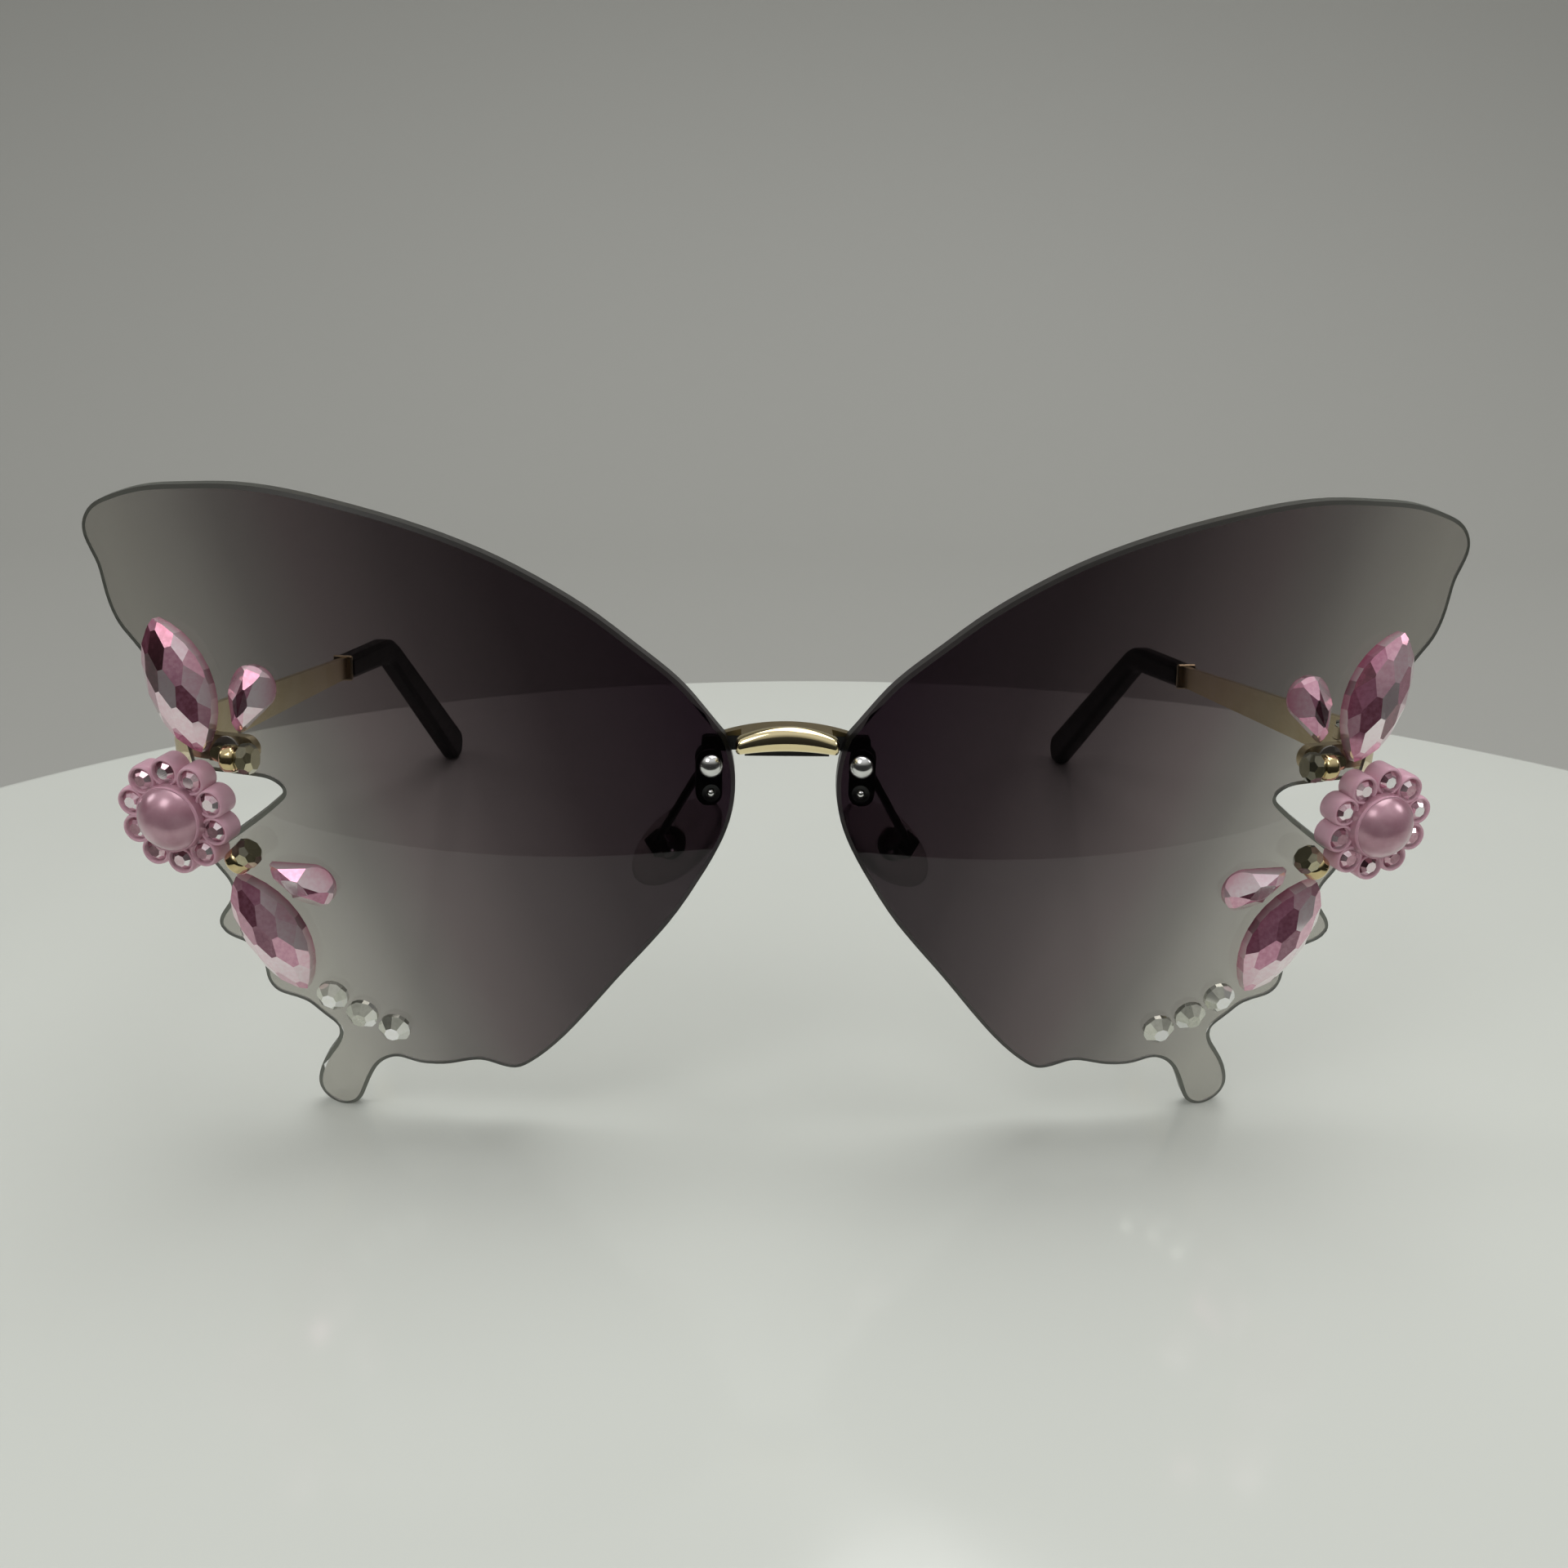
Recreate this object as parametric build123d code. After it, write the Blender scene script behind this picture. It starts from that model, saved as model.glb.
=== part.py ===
from build123d import *
import os
from math import asin, atan2, cos, hypot, radians, sin, sqrt

# Rimless sunglasses with butterfly-wing lenses, in millimetres, open and standing on the
# two lens tails and the two temple tips. +X is to the right as seen from the front, the
# front faces -Y and +Z is up. Every side piece is built on the +X side and mirrored.

# Lenses: two butterfly wings cut from a spherical shell
lens_width = 74.2
lens_height = 78.9
lens_gap = 11.6
lens_thickness = 1.8
lens_front_radius = 148.0
lens_apex_shares = (0.315, 0.532)
lens_corner_radius = 1.1
overrun = 1.0

# Outline of the right lens as shares of its width, from the inner edge, and of its height:
# the wing over its tip to the corner above the notch, the notch, the small lobe, and the
# scalloped tail with the long inner edge
wing_shares = [
    (0.016, 0.663), (0.038, 0.689), (0.082, 0.739), (0.143, 0.788), (0.212, 0.838),
    (0.286, 0.881), (0.361, 0.916), (0.446, 0.946), (0.520, 0.966), (0.596, 0.982),
    (0.677, 0.995), (0.760, 1.000), (0.833, 0.996), (0.898, 0.989), (0.954, 0.973),
    (0.988, 0.954), (1.000, 0.928), (0.991, 0.901), (0.977, 0.877), (0.969, 0.849),
    (0.961, 0.823), (0.946, 0.795), (0.918, 0.766), (0.896, 0.738), (0.873, 0.697),
    (0.856, 0.654), (0.846, 0.620), (0.841, 0.593),
]
notch_shares = [
    (0.841, 0.593), (0.792, 0.591), (0.739, 0.589), (0.710, 0.583), (0.697, 0.570),
    (0.708, 0.555), (0.733, 0.534), (0.765, 0.510), (0.802, 0.483), (0.833, 0.463),
]
small_lobe_shares = [
    (0.833, 0.463), (0.817, 0.433), (0.801, 0.408), (0.805, 0.384), (0.822, 0.360),
    (0.830, 0.337), (0.819, 0.321), (0.798, 0.313), (0.774, 0.297),
]
tail_shares = [
    (0.774, 0.297), (0.763, 0.269), (0.761, 0.245), (0.748, 0.226), (0.722, 0.218),
    (0.698, 0.210), (0.674, 0.189), (0.652, 0.165), (0.658, 0.139), (0.679, 0.108),
    (0.698, 0.071), (0.704, 0.038), (0.693, 0.013), (0.667, 0.000), (0.642, 0.009),
    (0.623, 0.039), (0.605, 0.077), (0.585, 0.103), (0.558, 0.114), (0.528, 0.106),
    (0.500, 0.103), (0.469, 0.106), (0.441, 0.113), (0.415, 0.115), (0.388, 0.106),
    (0.360, 0.101), (0.337, 0.112), (0.305, 0.138), (0.256, 0.190), (0.181, 0.281),
    (0.104, 0.370), (0.046, 0.456), (0.013, 0.520), (0.001, 0.573), (0.003, 0.621),
    (0.016, 0.663),
]

# Screws through the lenses: a nylon washer, a plate, a nut and a peg sit behind each
seat_gap = 0.03
hole_gap = 0.1
thread_gap = 0.02
screw_radius = 0.6
screw_end = 0.3
washer_radius = 1.55
washer_thickness = 0.3
nut_radius = 1.25
nut_height = 1.1
nut_sides = 6
peg_radius = 0.45
peg_stand = 0.15

# Bridge: plates and bar in one black core, a top rail on it and a front bar before it
bridge_screw_inset = 2.8
bridge_screw_height_share = 0.6198
bridge_head_radius = 1.35
bridge_head_height = 0.95
bridge_head_rim = 0.2
bridge_peg_drop = 3.3
bridge_plate_width = 3.0
bridge_plate_top = 2.0
bridge_plate_foot = 2.0
bridge_plate_thickness = 1.0
core_bar_lift = 1.1
core_bar_height = 1.7
core_bar_depth = 1.2
core_bar_overhang = 1.2
core_bar_lens_gap = 0.35
core_bar_corner = 0.55
core_block_width = 9.6
core_block_step = 0.3
rail_width = 14.4
rail_block_width = 10.4
rail_end_height = 0.3
rail_rise = 1.1
rail_front_gap = 0.05
front_bar_width = 11.7
front_bar_lift = 1.75
front_bar_end_height = 1.65
front_bar_bottom_rise = 0.35
front_bar_top_rise = 1.85
front_bar_depth = 2.1
front_bar_lens_lead = 0.4
front_bar_end_round = 0.7
front_bar_bevel = 0.7
front_bar_round = 0.8

# Nose pads: each rocks on the screw in the box of its arm
pad_spacing = 25.8
pad_setback = 10.2
pad_drop = 13.6
pad_length_shares = (0.69, 0.12, -0.71)
pad_normal_shares = (-0.50, 0.80, -0.33)
pad_length = 14.4
pad_width = 7.6
pad_end_radius = 3.0
pad_thickness = 2.6
pad_edge = 0.8
pad_recess = 0.35
pad_mount_radius = 2.05
pad_mount_thickness = 0.7
pad_mount_gap = 0.05
pad_lug_width = 1.2
pad_lug_radius = 0.95
pad_lug_neck = 1.35
pad_screw_radius = 0.45
pad_screw_head_radius = 0.75
pad_screw_head_height = 0.4
pad_running_gap = 0.05
pad_box_wall = 0.6
pad_box_side_gap = 0.1
pad_box_length = 2.3
pad_box_front_gap = 0.45
pad_box_back_gap = 0.2
pad_arm_radius = 0.5
pad_arm_outset = 0.8
pad_arm_drop = 2.1
pad_arm_run = 1.9
pad_arm_bend = 1.1

# End pieces: from the lenses back to the hinges. The screw's place is in shares of the
# flower's reach from its centre, across and up.
end_screw_place_shares = (-0.696, 1.0196)
end_head_radius = 0.9
end_head_height = 0.7
end_peg_inset = 2.4
end_plate_height = 3.2
end_plate_inboard = 3.5
end_plate_outboard = 2.4
end_plate_thickness = 1.2
end_piece_reach = 6.0
end_piece_depth = 14.3
end_piece_drop = 2.6
end_piece_slope_run = 6.0
end_piece_bend = 9.0
end_piece_ease = 3.0

# Hinges
knuckle_radius = 1.2
knuckle_height = 1.5
knuckle_gap = 0.1
hinge_screw_radius = 0.6
hinge_running_gap = 0.05
hinge_head_radius = 1.05
hinge_head_height = 0.5
hinge_slot_width = 0.3
hinge_slot_depth = 0.22
butt_gap = 0.1

# Temples: gold arms, collars and plastic tips
temple_splay = 4.63
temple_fall = 8.65
arm_length = 58.2
arm_front_height = 5.6
arm_rear_height = 3.3
arm_thickness = 1.2
arm_bevel = 0.3
tang_length = 17.0
tang_height = 2.0
tang_thickness = 0.8
tang_gap = 0.05
collar_length = 0.8
collar_height = 4.0
collar_thickness = 3.0
collar_edge = 0.2
tip_straight = 22.7
tip_fall = 38.0
tip_front_height = 3.7
tip_elbow_height = 4.2
tip_end_radius = 3.1
tip_thickness = 3.4
tip_edge = 0.7
tip_top_bend = 15.0
tip_bottom_bend = 9.0

# Flowers: ten cups with stones round a pearl, glued across the notches
flower_shares = (0.860, 0.528)
glue_gap = 0.2
petal_count = 10
petal_first_angle = 13.5
petal_ring_radius = 5.35
petal_radius = 1.85
petal_height = 4.2
flower_body_height = 3.9
cup_mouth_radius = 1.2
cup_floor_radius = 0.95
cup_depth = 0.9
cup_stone_sides = 8
cup_stone_height = 0.75
cup_stone_gap = 0.04
pearl_radius = 3.9
pearl_socket_gap = 0.05
pearl_socket_floor = 3.6

# Gems round each flower. Places are shares of the flower's reach from its centre, across
# and up; angles turn each long axis from level.
gem_girdle_share = 0.38
gem_facet_share = 0.18
gem_facet_rows = 3
marquise_height = 3.2
marquise_width = 7.7
upper_marquise_length = 15.8
upper_marquise_place_shares = (-0.19, 2.09)
upper_marquise_angle = 70.3
lower_marquise_length = 16.2
lower_marquise_place_shares = (-1.333, -2.014)
lower_marquise_angle = 65.3
teardrop_height = 2.6
teardrop_length = 8.2
teardrop_width = 5.3
upper_teardrop_place_shares = (-1.306, 1.944)
upper_teardrop_angle = -72.5
lower_teardrop_place_shares = (-1.903, -1.028)
lower_teardrop_angle = 27.7
bead_setting_radius = 1.6
bead_setting_length = 1.9
bead_glass_radius = 1.8
bead_glass_length = 2.1
bead_glass_sides = 8
upper_bead_place_shares = (-1.167, 1.042)
upper_bead_angle = 177.0
lower_bead_place_shares = (-1.083, -0.583)
lower_bead_angle = 137.0
clear_stone_radius = 1.95
clear_stone_height = 1.6
clear_stone_sides = 10
clear_stone_gap = 0.3
clear_row_lead = 1.0
clear_row_turns = (208.6, 216.4, 205.2)
stone_girdle_share = 0.45
stone_crown_share = 0.5
stone_star_share = 0.97

# Places on the lens front
def lens_place(shares):
    """x and z of a place on the +X lens, from shares of its width and height."""
    return lens_gap / 2 + shares[0] * lens_width, shares[1] * lens_height


flower_place = lens_place(flower_shares)
flower_reach = petal_ring_radius + petal_radius


def gem_place(shares):
    """x and z of a gem or screw, from shares of the flower's reach from its centre."""
    return flower_place[0] + shares[0] * flower_reach, flower_place[1] + shares[1] * flower_reach


lens_apex = lens_place(lens_apex_shares)
bridge_screw_place = (lens_gap / 2 + bridge_screw_inset, bridge_screw_height_share * lens_height)
end_screw_place = gem_place(end_screw_place_shares)


def lens_sag(x, z):
    """How far the lens front falls back from its apex."""
    across, up = x - lens_apex[0], z - lens_apex[1]
    return lens_front_radius - sqrt(lens_front_radius**2 - across**2 - up**2)


def lens_front_y(x, z):
    """y of the lens front, which is zero at the bridge screw."""
    return lens_sag(x, z) - lens_sag(*bridge_screw_place)


def lens_seat(x, z):
    """Plane on the lens front: its x runs level outwards and its z points out of the lens."""
    across, up = x - lens_apex[0], z - lens_apex[1]
    forward = lens_front_radius - lens_sag(x, z)
    origin = (x, lens_front_y(x, z), z)
    return Plane(origin=origin, x_dir=(forward, across, 0), z_dir=(across, -forward, up))


bridge_seat = lens_seat(*bridge_screw_place)
end_seat = lens_seat(*end_screw_place)
plate_front = -(lens_thickness + seat_gap + washer_thickness)

# The hinge frame has x outwards, y back along the temple and z up the hinge axis. The
# temple frame has x back along the temple, y up and z outwards.
hinge_x = end_screw_place[0] + end_piece_reach
hinge_y = lens_front_y(*end_screw_place) + end_piece_depth
hinge_z = end_screw_place[1] - end_piece_drop
outward = (cos(radians(temple_splay)), sin(radians(temple_splay)), 0)
hinge_centre = (hinge_x, hinge_y, hinge_z)
hinge_plane = Plane(origin=hinge_centre, x_dir=outward, z_dir=(0, 0, 1))
temple_plane = Plane(origin=hinge_centre, x_dir=(-outward[1], outward[0], 0), z_dir=outward)
strip_inner = knuckle_radius + butt_gap
strip_middle = strip_inner + arm_thickness / 2


# Small shapes
bottom = (Align.CENTER, Align.CENTER, Align.MIN)


def disc(radius, height, base=0):
    """Round disc along z, from the height base upwards."""
    return Pos(0, 0, base) * Cylinder(radius, height, align=bottom)


def block(size_x, size_y, size_z, base=0):
    """Box centred on the z axis, from the height base upwards."""
    return Pos(0, 0, base) * Box(size_x, size_y, size_z, align=bottom)


def pin(radius, length):
    """Round pin along y, centred."""
    return Rot(90, 0, 0) * Cylinder(radius, length)


def dome(radius, height, rim):
    """Screw head: a short cylindrical rim under a spherical cap."""
    cap = height - rim
    cap_radius = (radius**2 + cap**2) / (2 * cap)
    halfway = asin(radius / cap_radius) / 2
    crest = (0, height)
    shoulder = (radius, rim)
    middle = (cap_radius * sin(halfway), height - cap_radius + cap_radius * cos(halfway))
    edges = [Polyline(crest, (0, 0), (radius, 0), shoulder), ThreePointArc(shoulder, middle, crest)]
    return revolve(Plane.XZ * make_face(edges), Axis.Z)


def cut_ring(stone, sides, first_angle, radius, base, slope):
    """Stone with a ring of flat facets, each through a point at the radius and height base."""
    for index in range(sides):
        angle = radians(first_angle + 360 / sides * index)
        across, up = cos(angle), sin(angle)
        facet = Plane(origin=(radius * across, radius * up, base), z_dir=(across, up, slope))
        stone = split(stone, facet, keep=Keep.BOTTOM)
    return stone


def polygon_stone(radius, height, sides, rings):
    """Round faceted stone with a crown of one ring of facets, or of two staggered rings."""
    girdle = height * stone_girdle_share
    flat_radius = radius * cos(radians(180 / sides))
    crown_slope = radius * (1 - stone_crown_share) / (height - girdle)
    stone = extrude(RegularPolygon(radius, sides), height)
    stone = cut_ring(stone, sides, 180 / sides, flat_radius, girdle, crown_slope)
    if rings == 1:
        return stone
    return cut_ring(stone, sides, 0, radius * stone_star_share, girdle, crown_slope * stone_star_share)


def mirrored(shape):
    """The same piece on the -X side."""
    return mirror(shape, about=Plane.YZ)


def both_sides(shapes):
    """Identical small pieces of the +X side and their mirror images, as separate solids."""
    solids = [solid for shape in shapes for solid in shape.solids()]
    return Compound(solids + [mirrored(solid).solid() for solid in solids])


# Lenses
def lens_sphere(radius):
    """Ball about the centre of the lens curves."""
    centre_y = lens_front_y(*lens_apex) + lens_front_radius
    return Pos(lens_apex[0], centre_y, lens_apex[1]) * Sphere(radius)


def make_lens():
    """Butterfly wing cut from a spherical shell, with its screw and peg holes."""
    tables = (wing_shares, notch_shares, small_lobe_shares, tail_shares)
    outline = make_face([Spline(*[lens_place(shares) for shares in table]) for table in tables])
    corners = [Vector(*lens_place(table[0])) for table in (notch_shares, small_lobe_shares, tail_shares)]
    sharp = [min(outline.vertices(), key=lambda v: (Vector(*v) - corner).length) for corner in corners]
    outline = fillet(sharp, lens_corner_radius)
    blank = extrude(Plane.XZ * outline, lens_front_radius / 2, both=True)
    lens = blank & (lens_sphere(lens_front_radius) - lens_sphere(lens_front_radius - lens_thickness))
    drill_depth = lens_thickness + 2 * overrun
    screw_hole = disc(screw_radius + hole_gap, drill_depth, overrun - drill_depth)
    peg_hole = disc(peg_radius + hole_gap, drill_depth, overrun - drill_depth)
    lens -= bridge_seat * screw_hole
    lens -= bridge_seat * Pos(0, -bridge_peg_drop, 0) * peg_hole
    lens -= end_seat * screw_hole
    lens -= end_seat * Pos(-end_peg_inset, 0, 0) * peg_hole
    return lens


# Fastenings behind the lenses
def make_washer():
    """Nylon washer between the lens and a plate."""
    ring = disc(washer_radius, washer_thickness, plate_front)
    return ring - disc(screw_radius + hole_gap, washer_thickness, plate_front)


def make_nut(plate_thickness):
    """Six-sided nut on the back of a plate."""
    base = plate_front - plate_thickness - nut_height
    body = Pos(0, 0, base) * extrude(RegularPolygon(nut_radius, nut_sides), nut_height)
    return body - disc(screw_radius + thread_gap, nut_height, base)


def make_screw(head, plate_thickness):
    """Screw through lens, washer, plate and nut."""
    end = plate_front - plate_thickness - nut_height - screw_end
    return disc(screw_radius, seat_gap - end, end) + Pos(0, 0, seat_gap) * head


def make_peg():
    """Peg that stands on a plate and passes through the lens, so that the lens can't turn."""
    return disc(peg_radius, peg_stand - plate_front, plate_front)


# Bridge
def make_bridge_core():
    """Two plates behind the lenses, joined by a bar with a block that carries the front bar."""
    plate_length = bridge_plate_top + bridge_peg_drop + bridge_plate_foot
    plate_middle = bridge_plate_top - plate_length / 2
    slot = Rot(0, 0, 90) * SlotOverall(plate_length, bridge_plate_width)
    plate = Pos(0, plate_middle, plate_front - bridge_plate_thickness) * extrude(slot, bridge_plate_thickness)
    plate -= disc(screw_radius + hole_gap, bridge_plate_thickness, plate_front - bridge_plate_thickness)
    plate = bridge_seat * plate
    bar_width = 2 * (bridge_screw_place[0] + core_bar_overhang)
    bar_face = RectangleRounded(bar_width, core_bar_height, core_bar_corner)
    bar_middle = core_bar_bottom + core_bar_height / 2
    bar = Pos(0, core_bar_front, bar_middle) * extrude(Plane.XZ * bar_face, -core_bar_depth)
    block_height = core_bar_height - core_block_step
    block_depth = core_bar_front - front_bar_back
    carrier = Pos(0, (core_bar_front + front_bar_back) / 2, core_bar_bottom + core_block_step) * block(
        core_block_width, block_depth, block_height
    )
    return plate + mirrored(plate) + bar + carrier


def arched_face(width, base, end_height, bottom_rise, top_rise):
    """Upright face with an arched top and an arched bottom."""
    left, right = -width / 2, width / 2
    top = base + end_height
    bottom_arc = ThreePointArc((left, base), (0, base + bottom_rise), (right, base)) if bottom_rise else None
    floor = bottom_arc or Line((left, base), (right, base))
    top_arc = ThreePointArc((right, top), (0, top + top_rise), (left, top))
    return make_face([floor, Line((right, base), (right, top)), top_arc, Line((left, top), (left, base))])


def make_bridge_top_rail():
    """Arched rail on the bar, with a block that reaches forward to the front bar."""
    base = core_bar_bottom + core_bar_height + seat_gap
    face = arched_face(rail_width, base, rail_end_height, 0, rail_rise)
    rail = Pos(0, core_bar_front, 0) * extrude(Plane.XZ * face, -core_bar_depth)
    reach = core_bar_front - front_bar_back - rail_front_gap
    forward = Pos(0, core_bar_front, 0) * extrude(Plane.XZ * face, reach)
    forward &= Pos(0, core_bar_front, 0) * Box(rail_block_width, 2 * reach, 2 * (base + lens_height))
    return rail + forward


def make_bridge_front_bar():
    """Polished cushion-shaped bar with a flat bevel along its lower edge."""
    base = bridge_screw_place[1] + front_bar_lift
    face = arched_face(front_bar_width, base, front_bar_end_height, front_bar_bottom_rise, front_bar_top_rise)
    bar = Pos(0, front_bar_back, 0) * extrude(Plane.XZ * face, front_bar_depth)
    arcs = bar.edges().filter_by(GeomType.CIRCLE).group_by(Axis.Y)[0].sort_by(Axis.Z)
    bar = chamfer(arcs[0], front_bar_bevel)
    arcs = bar.edges().filter_by(GeomType.CIRCLE).group_by(Axis.Y)[0].sort_by(Axis.Z)
    bar = fillet(arcs[-1], front_bar_round)
    rounded = fillet(face.vertices(), front_bar_end_round)
    return bar & Pos(0, front_bar_back, 0) * extrude(Plane.XZ * rounded, front_bar_depth)


core_bar_front = lens_thickness + washer_thickness + core_bar_lens_gap
core_bar_bottom = bridge_screw_place[1] + core_bar_lift
front_bar_back = -front_bar_lens_lead


# Nose pads. The pad frame has x along the pad, y across it and z towards the nose.
def make_pad_plane():
    """Frame at the middle of the right nose pad."""
    origin = (pad_spacing / 2, pad_setback, bridge_screw_place[1] - pad_drop)
    return Plane(origin=origin, x_dir=pad_length_shares, z_dir=pad_normal_shares)


pad_plane = make_pad_plane()
mount_front = -pad_thickness / 2 + pad_recess
mount_back = mount_front - pad_mount_thickness
pad_axis_z = mount_back - pad_lug_neck
box_back = pad_axis_z - pad_lug_radius - pad_box_back_gap - pad_box_wall
box_front = mount_back - pad_box_front_gap
box_width = pad_lug_width + 2 * (pad_box_side_gap + pad_box_wall)


def make_nose_pad():
    """Soft oval pad with a round recess for its mount."""
    half_length, half_width = pad_length / 2, pad_width / 2
    side_radius = ((half_length - pad_end_radius) ** 2 + half_width**2 - pad_end_radius**2) / (
        2 * (half_width - pad_end_radius)
    )
    centre = side_radius - half_width
    oval = Pos(0, centre) * Circle(side_radius) & Pos(0, -centre) * Circle(side_radius)
    oval = fillet(oval.vertices(), pad_end_radius)
    pad = Pos(0, 0, -pad_thickness / 2) * extrude(oval, pad_thickness)
    faces = pad.faces().sort_by(Axis.Z)
    pad = chamfer(faces[0].edges() + faces[-1].edges(), pad_edge)
    return pad_plane * (pad - disc(pad_mount_radius + pad_mount_gap, pad_recess, -pad_thickness / 2))


def make_pad_mount():
    """Round metal mount and the lug that turns on the pad screw."""
    mount = disc(pad_mount_radius, pad_mount_thickness, mount_back)
    lug = block(2 * pad_lug_radius, pad_lug_width, pad_lug_neck, pad_axis_z)
    lug += Pos(0, 0, pad_axis_z) * pin(pad_lug_radius, pad_lug_width)
    lug -= Pos(0, 0, pad_axis_z) * pin(pad_screw_radius + pad_running_gap, pad_lug_width)
    return pad_plane * (mount + lug)


def make_pad_screw():
    """Small screw across the box of the pad arm."""
    shank = pin(pad_screw_radius, box_width + 2 * seat_gap)
    head_place = box_width / 2 + seat_gap + pad_screw_head_height / 2
    head = Pos(0, head_place, 0) * pin(pad_screw_head_radius, pad_screw_head_height)
    return pad_plane * Pos(0, 0, pad_axis_z) * (shank + head)


def make_pad_arm():
    """Wire from the bridge plate to an open box for the pad's lug."""
    plate_back = plate_front - bridge_plate_thickness
    start = bridge_seat.from_local_coords((pad_arm_outset, -pad_arm_drop, plate_back))
    knee = bridge_seat.from_local_coords((pad_arm_outset, -pad_arm_drop, plate_back - pad_arm_run))
    end = pad_plane.from_local_coords((0, 0, box_back))
    route = FilletPolyline(start, knee, end, radius=pad_arm_bend)
    wire = sweep(Plane(origin=route @ 0, z_dir=route % 0) * Circle(pad_arm_radius), route)
    box_height = box_front - box_back
    box = block(pad_box_length, box_width, box_height, box_back)
    box -= block(pad_box_length, pad_lug_width + 2 * pad_box_side_gap, box_height, box_back + pad_box_wall)
    box -= Pos(0, 0, pad_axis_z) * pin(pad_screw_radius + thread_gap, box_width)
    return wire + pad_plane * box


# End pieces and hinges
def make_knuckle(level, side, hole_radius):
    """Barrel at a level of the hinge, with its web before (-1) or behind (1) the butt."""
    base = level * (knuckle_height + knuckle_gap) - knuckle_height / 2
    web_length = knuckle_radius - butt_gap
    web = Pos(strip_middle / 2, side * (butt_gap + web_length / 2), 0) * block(
        strip_middle, web_length, knuckle_height, base
    )
    return disc(knuckle_radius, knuckle_height, base) + web - disc(hole_radius, knuckle_height, base)


def meeting_point(place, direction, other_place, other_direction):
    """Where two level lines cross."""
    across = direction[0] * other_direction[1] - direction[1] * other_direction[0]
    gap_x, gap_y = other_place[0] - place[0], other_place[1] - place[1]
    reach = (gap_x * other_direction[1] - gap_y * other_direction[0]) / across
    return place[0] + reach * direction[0], place[1] + reach * direction[1]


def make_end_piece():
    """Plate behind the lens, and a strip that turns back and falls to the hinge knuckles."""
    plate_length = end_plate_inboard + end_plate_outboard
    plate_shift = (end_plate_outboard - end_plate_inboard) / 2
    plate_back = plate_front - end_plate_thickness
    plate = Pos(plate_shift, 0, 0) * block(plate_length, end_plate_height, end_plate_thickness, plate_back)
    plate = fillet(plate.edges().filter_by(Axis.Z).sort_by(Axis.X)[:2], end_plate_height / 2 - seat_gap)
    plate -= disc(screw_radius + hole_gap, end_plate_thickness, plate_back)

    plate_middle = (plate_front + plate_back) / 2
    start = end_seat.from_local_coords((washer_radius + hole_gap, 0, plate_middle))
    strip_end = hinge_plane.from_local_coords((strip_middle, -butt_gap, 0))
    corner = meeting_point(tuple(start), tuple(end_seat.x_dir), tuple(strip_end), tuple(hinge_plane.y_dir))
    route = FilletPolyline((start.X, start.Y), corner, (strip_end.X, strip_end.Y), radius=end_piece_bend)
    strip = extrude(trace(route, arm_thickness), lens_height)

    slope_start = corner[1]
    slope_end = slope_start + end_piece_slope_run
    rear = hinge_y + overrun
    front = start.Y - end_piece_bend
    plate_z = end_screw_place[1]
    top = [
        (front, plate_z + end_plate_height / 2), (slope_start, plate_z + end_plate_height / 2),
        (slope_end, hinge_z + arm_front_height / 2), (rear, hinge_z + arm_front_height / 2),
    ]
    bottom = [
        (rear, hinge_z - arm_front_height / 2), (slope_end, hinge_z - arm_front_height / 2),
        (slope_start, plate_z - end_plate_height / 2), (front, plate_z - end_plate_height / 2),
    ]
    side = make_face(Polyline(*top, *bottom, close=True))
    bends = [v for v in side.vertices() if front + seat_gap < v.X < rear - seat_gap]
    side = fillet(bends, end_piece_ease)
    strip &= extrude(Plane.YZ * side, lens_gap + 2 * lens_width)

    knuckles = [make_knuckle(level, -1, hinge_screw_radius + thread_gap) for level in (-1, 1)]
    return end_seat * plate + strip + hinge_plane * knuckles[0] + hinge_plane * knuckles[1]


def make_hinge_screw():
    """Slotted screw down the hinge axis."""
    height = 3 * knuckle_height + 2 * knuckle_gap
    shank = disc(hinge_screw_radius, height + seat_gap, -height / 2)
    head = disc(hinge_head_radius, hinge_head_height, height / 2 + seat_gap)
    slot_floor = height / 2 + seat_gap + hinge_head_height - hinge_slot_depth
    head -= block(2 * hinge_head_radius, hinge_slot_width, hinge_slot_depth, slot_floor)
    return hinge_plane * (shank + head)


# Temples, drawn from the side in the temple frame and given their thickness outwards
def along(distance, offset=0):
    """Place at a distance along the arm from the hinge, and an offset square to it."""
    fall = radians(temple_fall)
    return distance * cos(fall) + offset * sin(fall), offset * cos(fall) - distance * sin(fall)


def bar_face(start, end, start_height, end_height):
    """Side face of a straight stretch of the temple."""
    corners = [along(start, -start_height / 2), along(end, -end_height / 2)]
    corners += [along(end, end_height / 2), along(start, start_height / 2)]
    return make_face(Polyline(*corners, close=True))


def slab(face, thickness):
    """Side face given its thickness, centred on the middle of the strip."""
    return Pos(0, 0, strip_middle - thickness / 2) * extrude(face, thickness)


def make_tang(gap):
    """Flat core of the tip, or with a gap its slot."""
    height = tang_height + 2 * gap
    face = bar_face(arm_length - overrun, arm_length + tang_length + gap, height, height)
    return slab(face, tang_thickness + 2 * gap)


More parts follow.
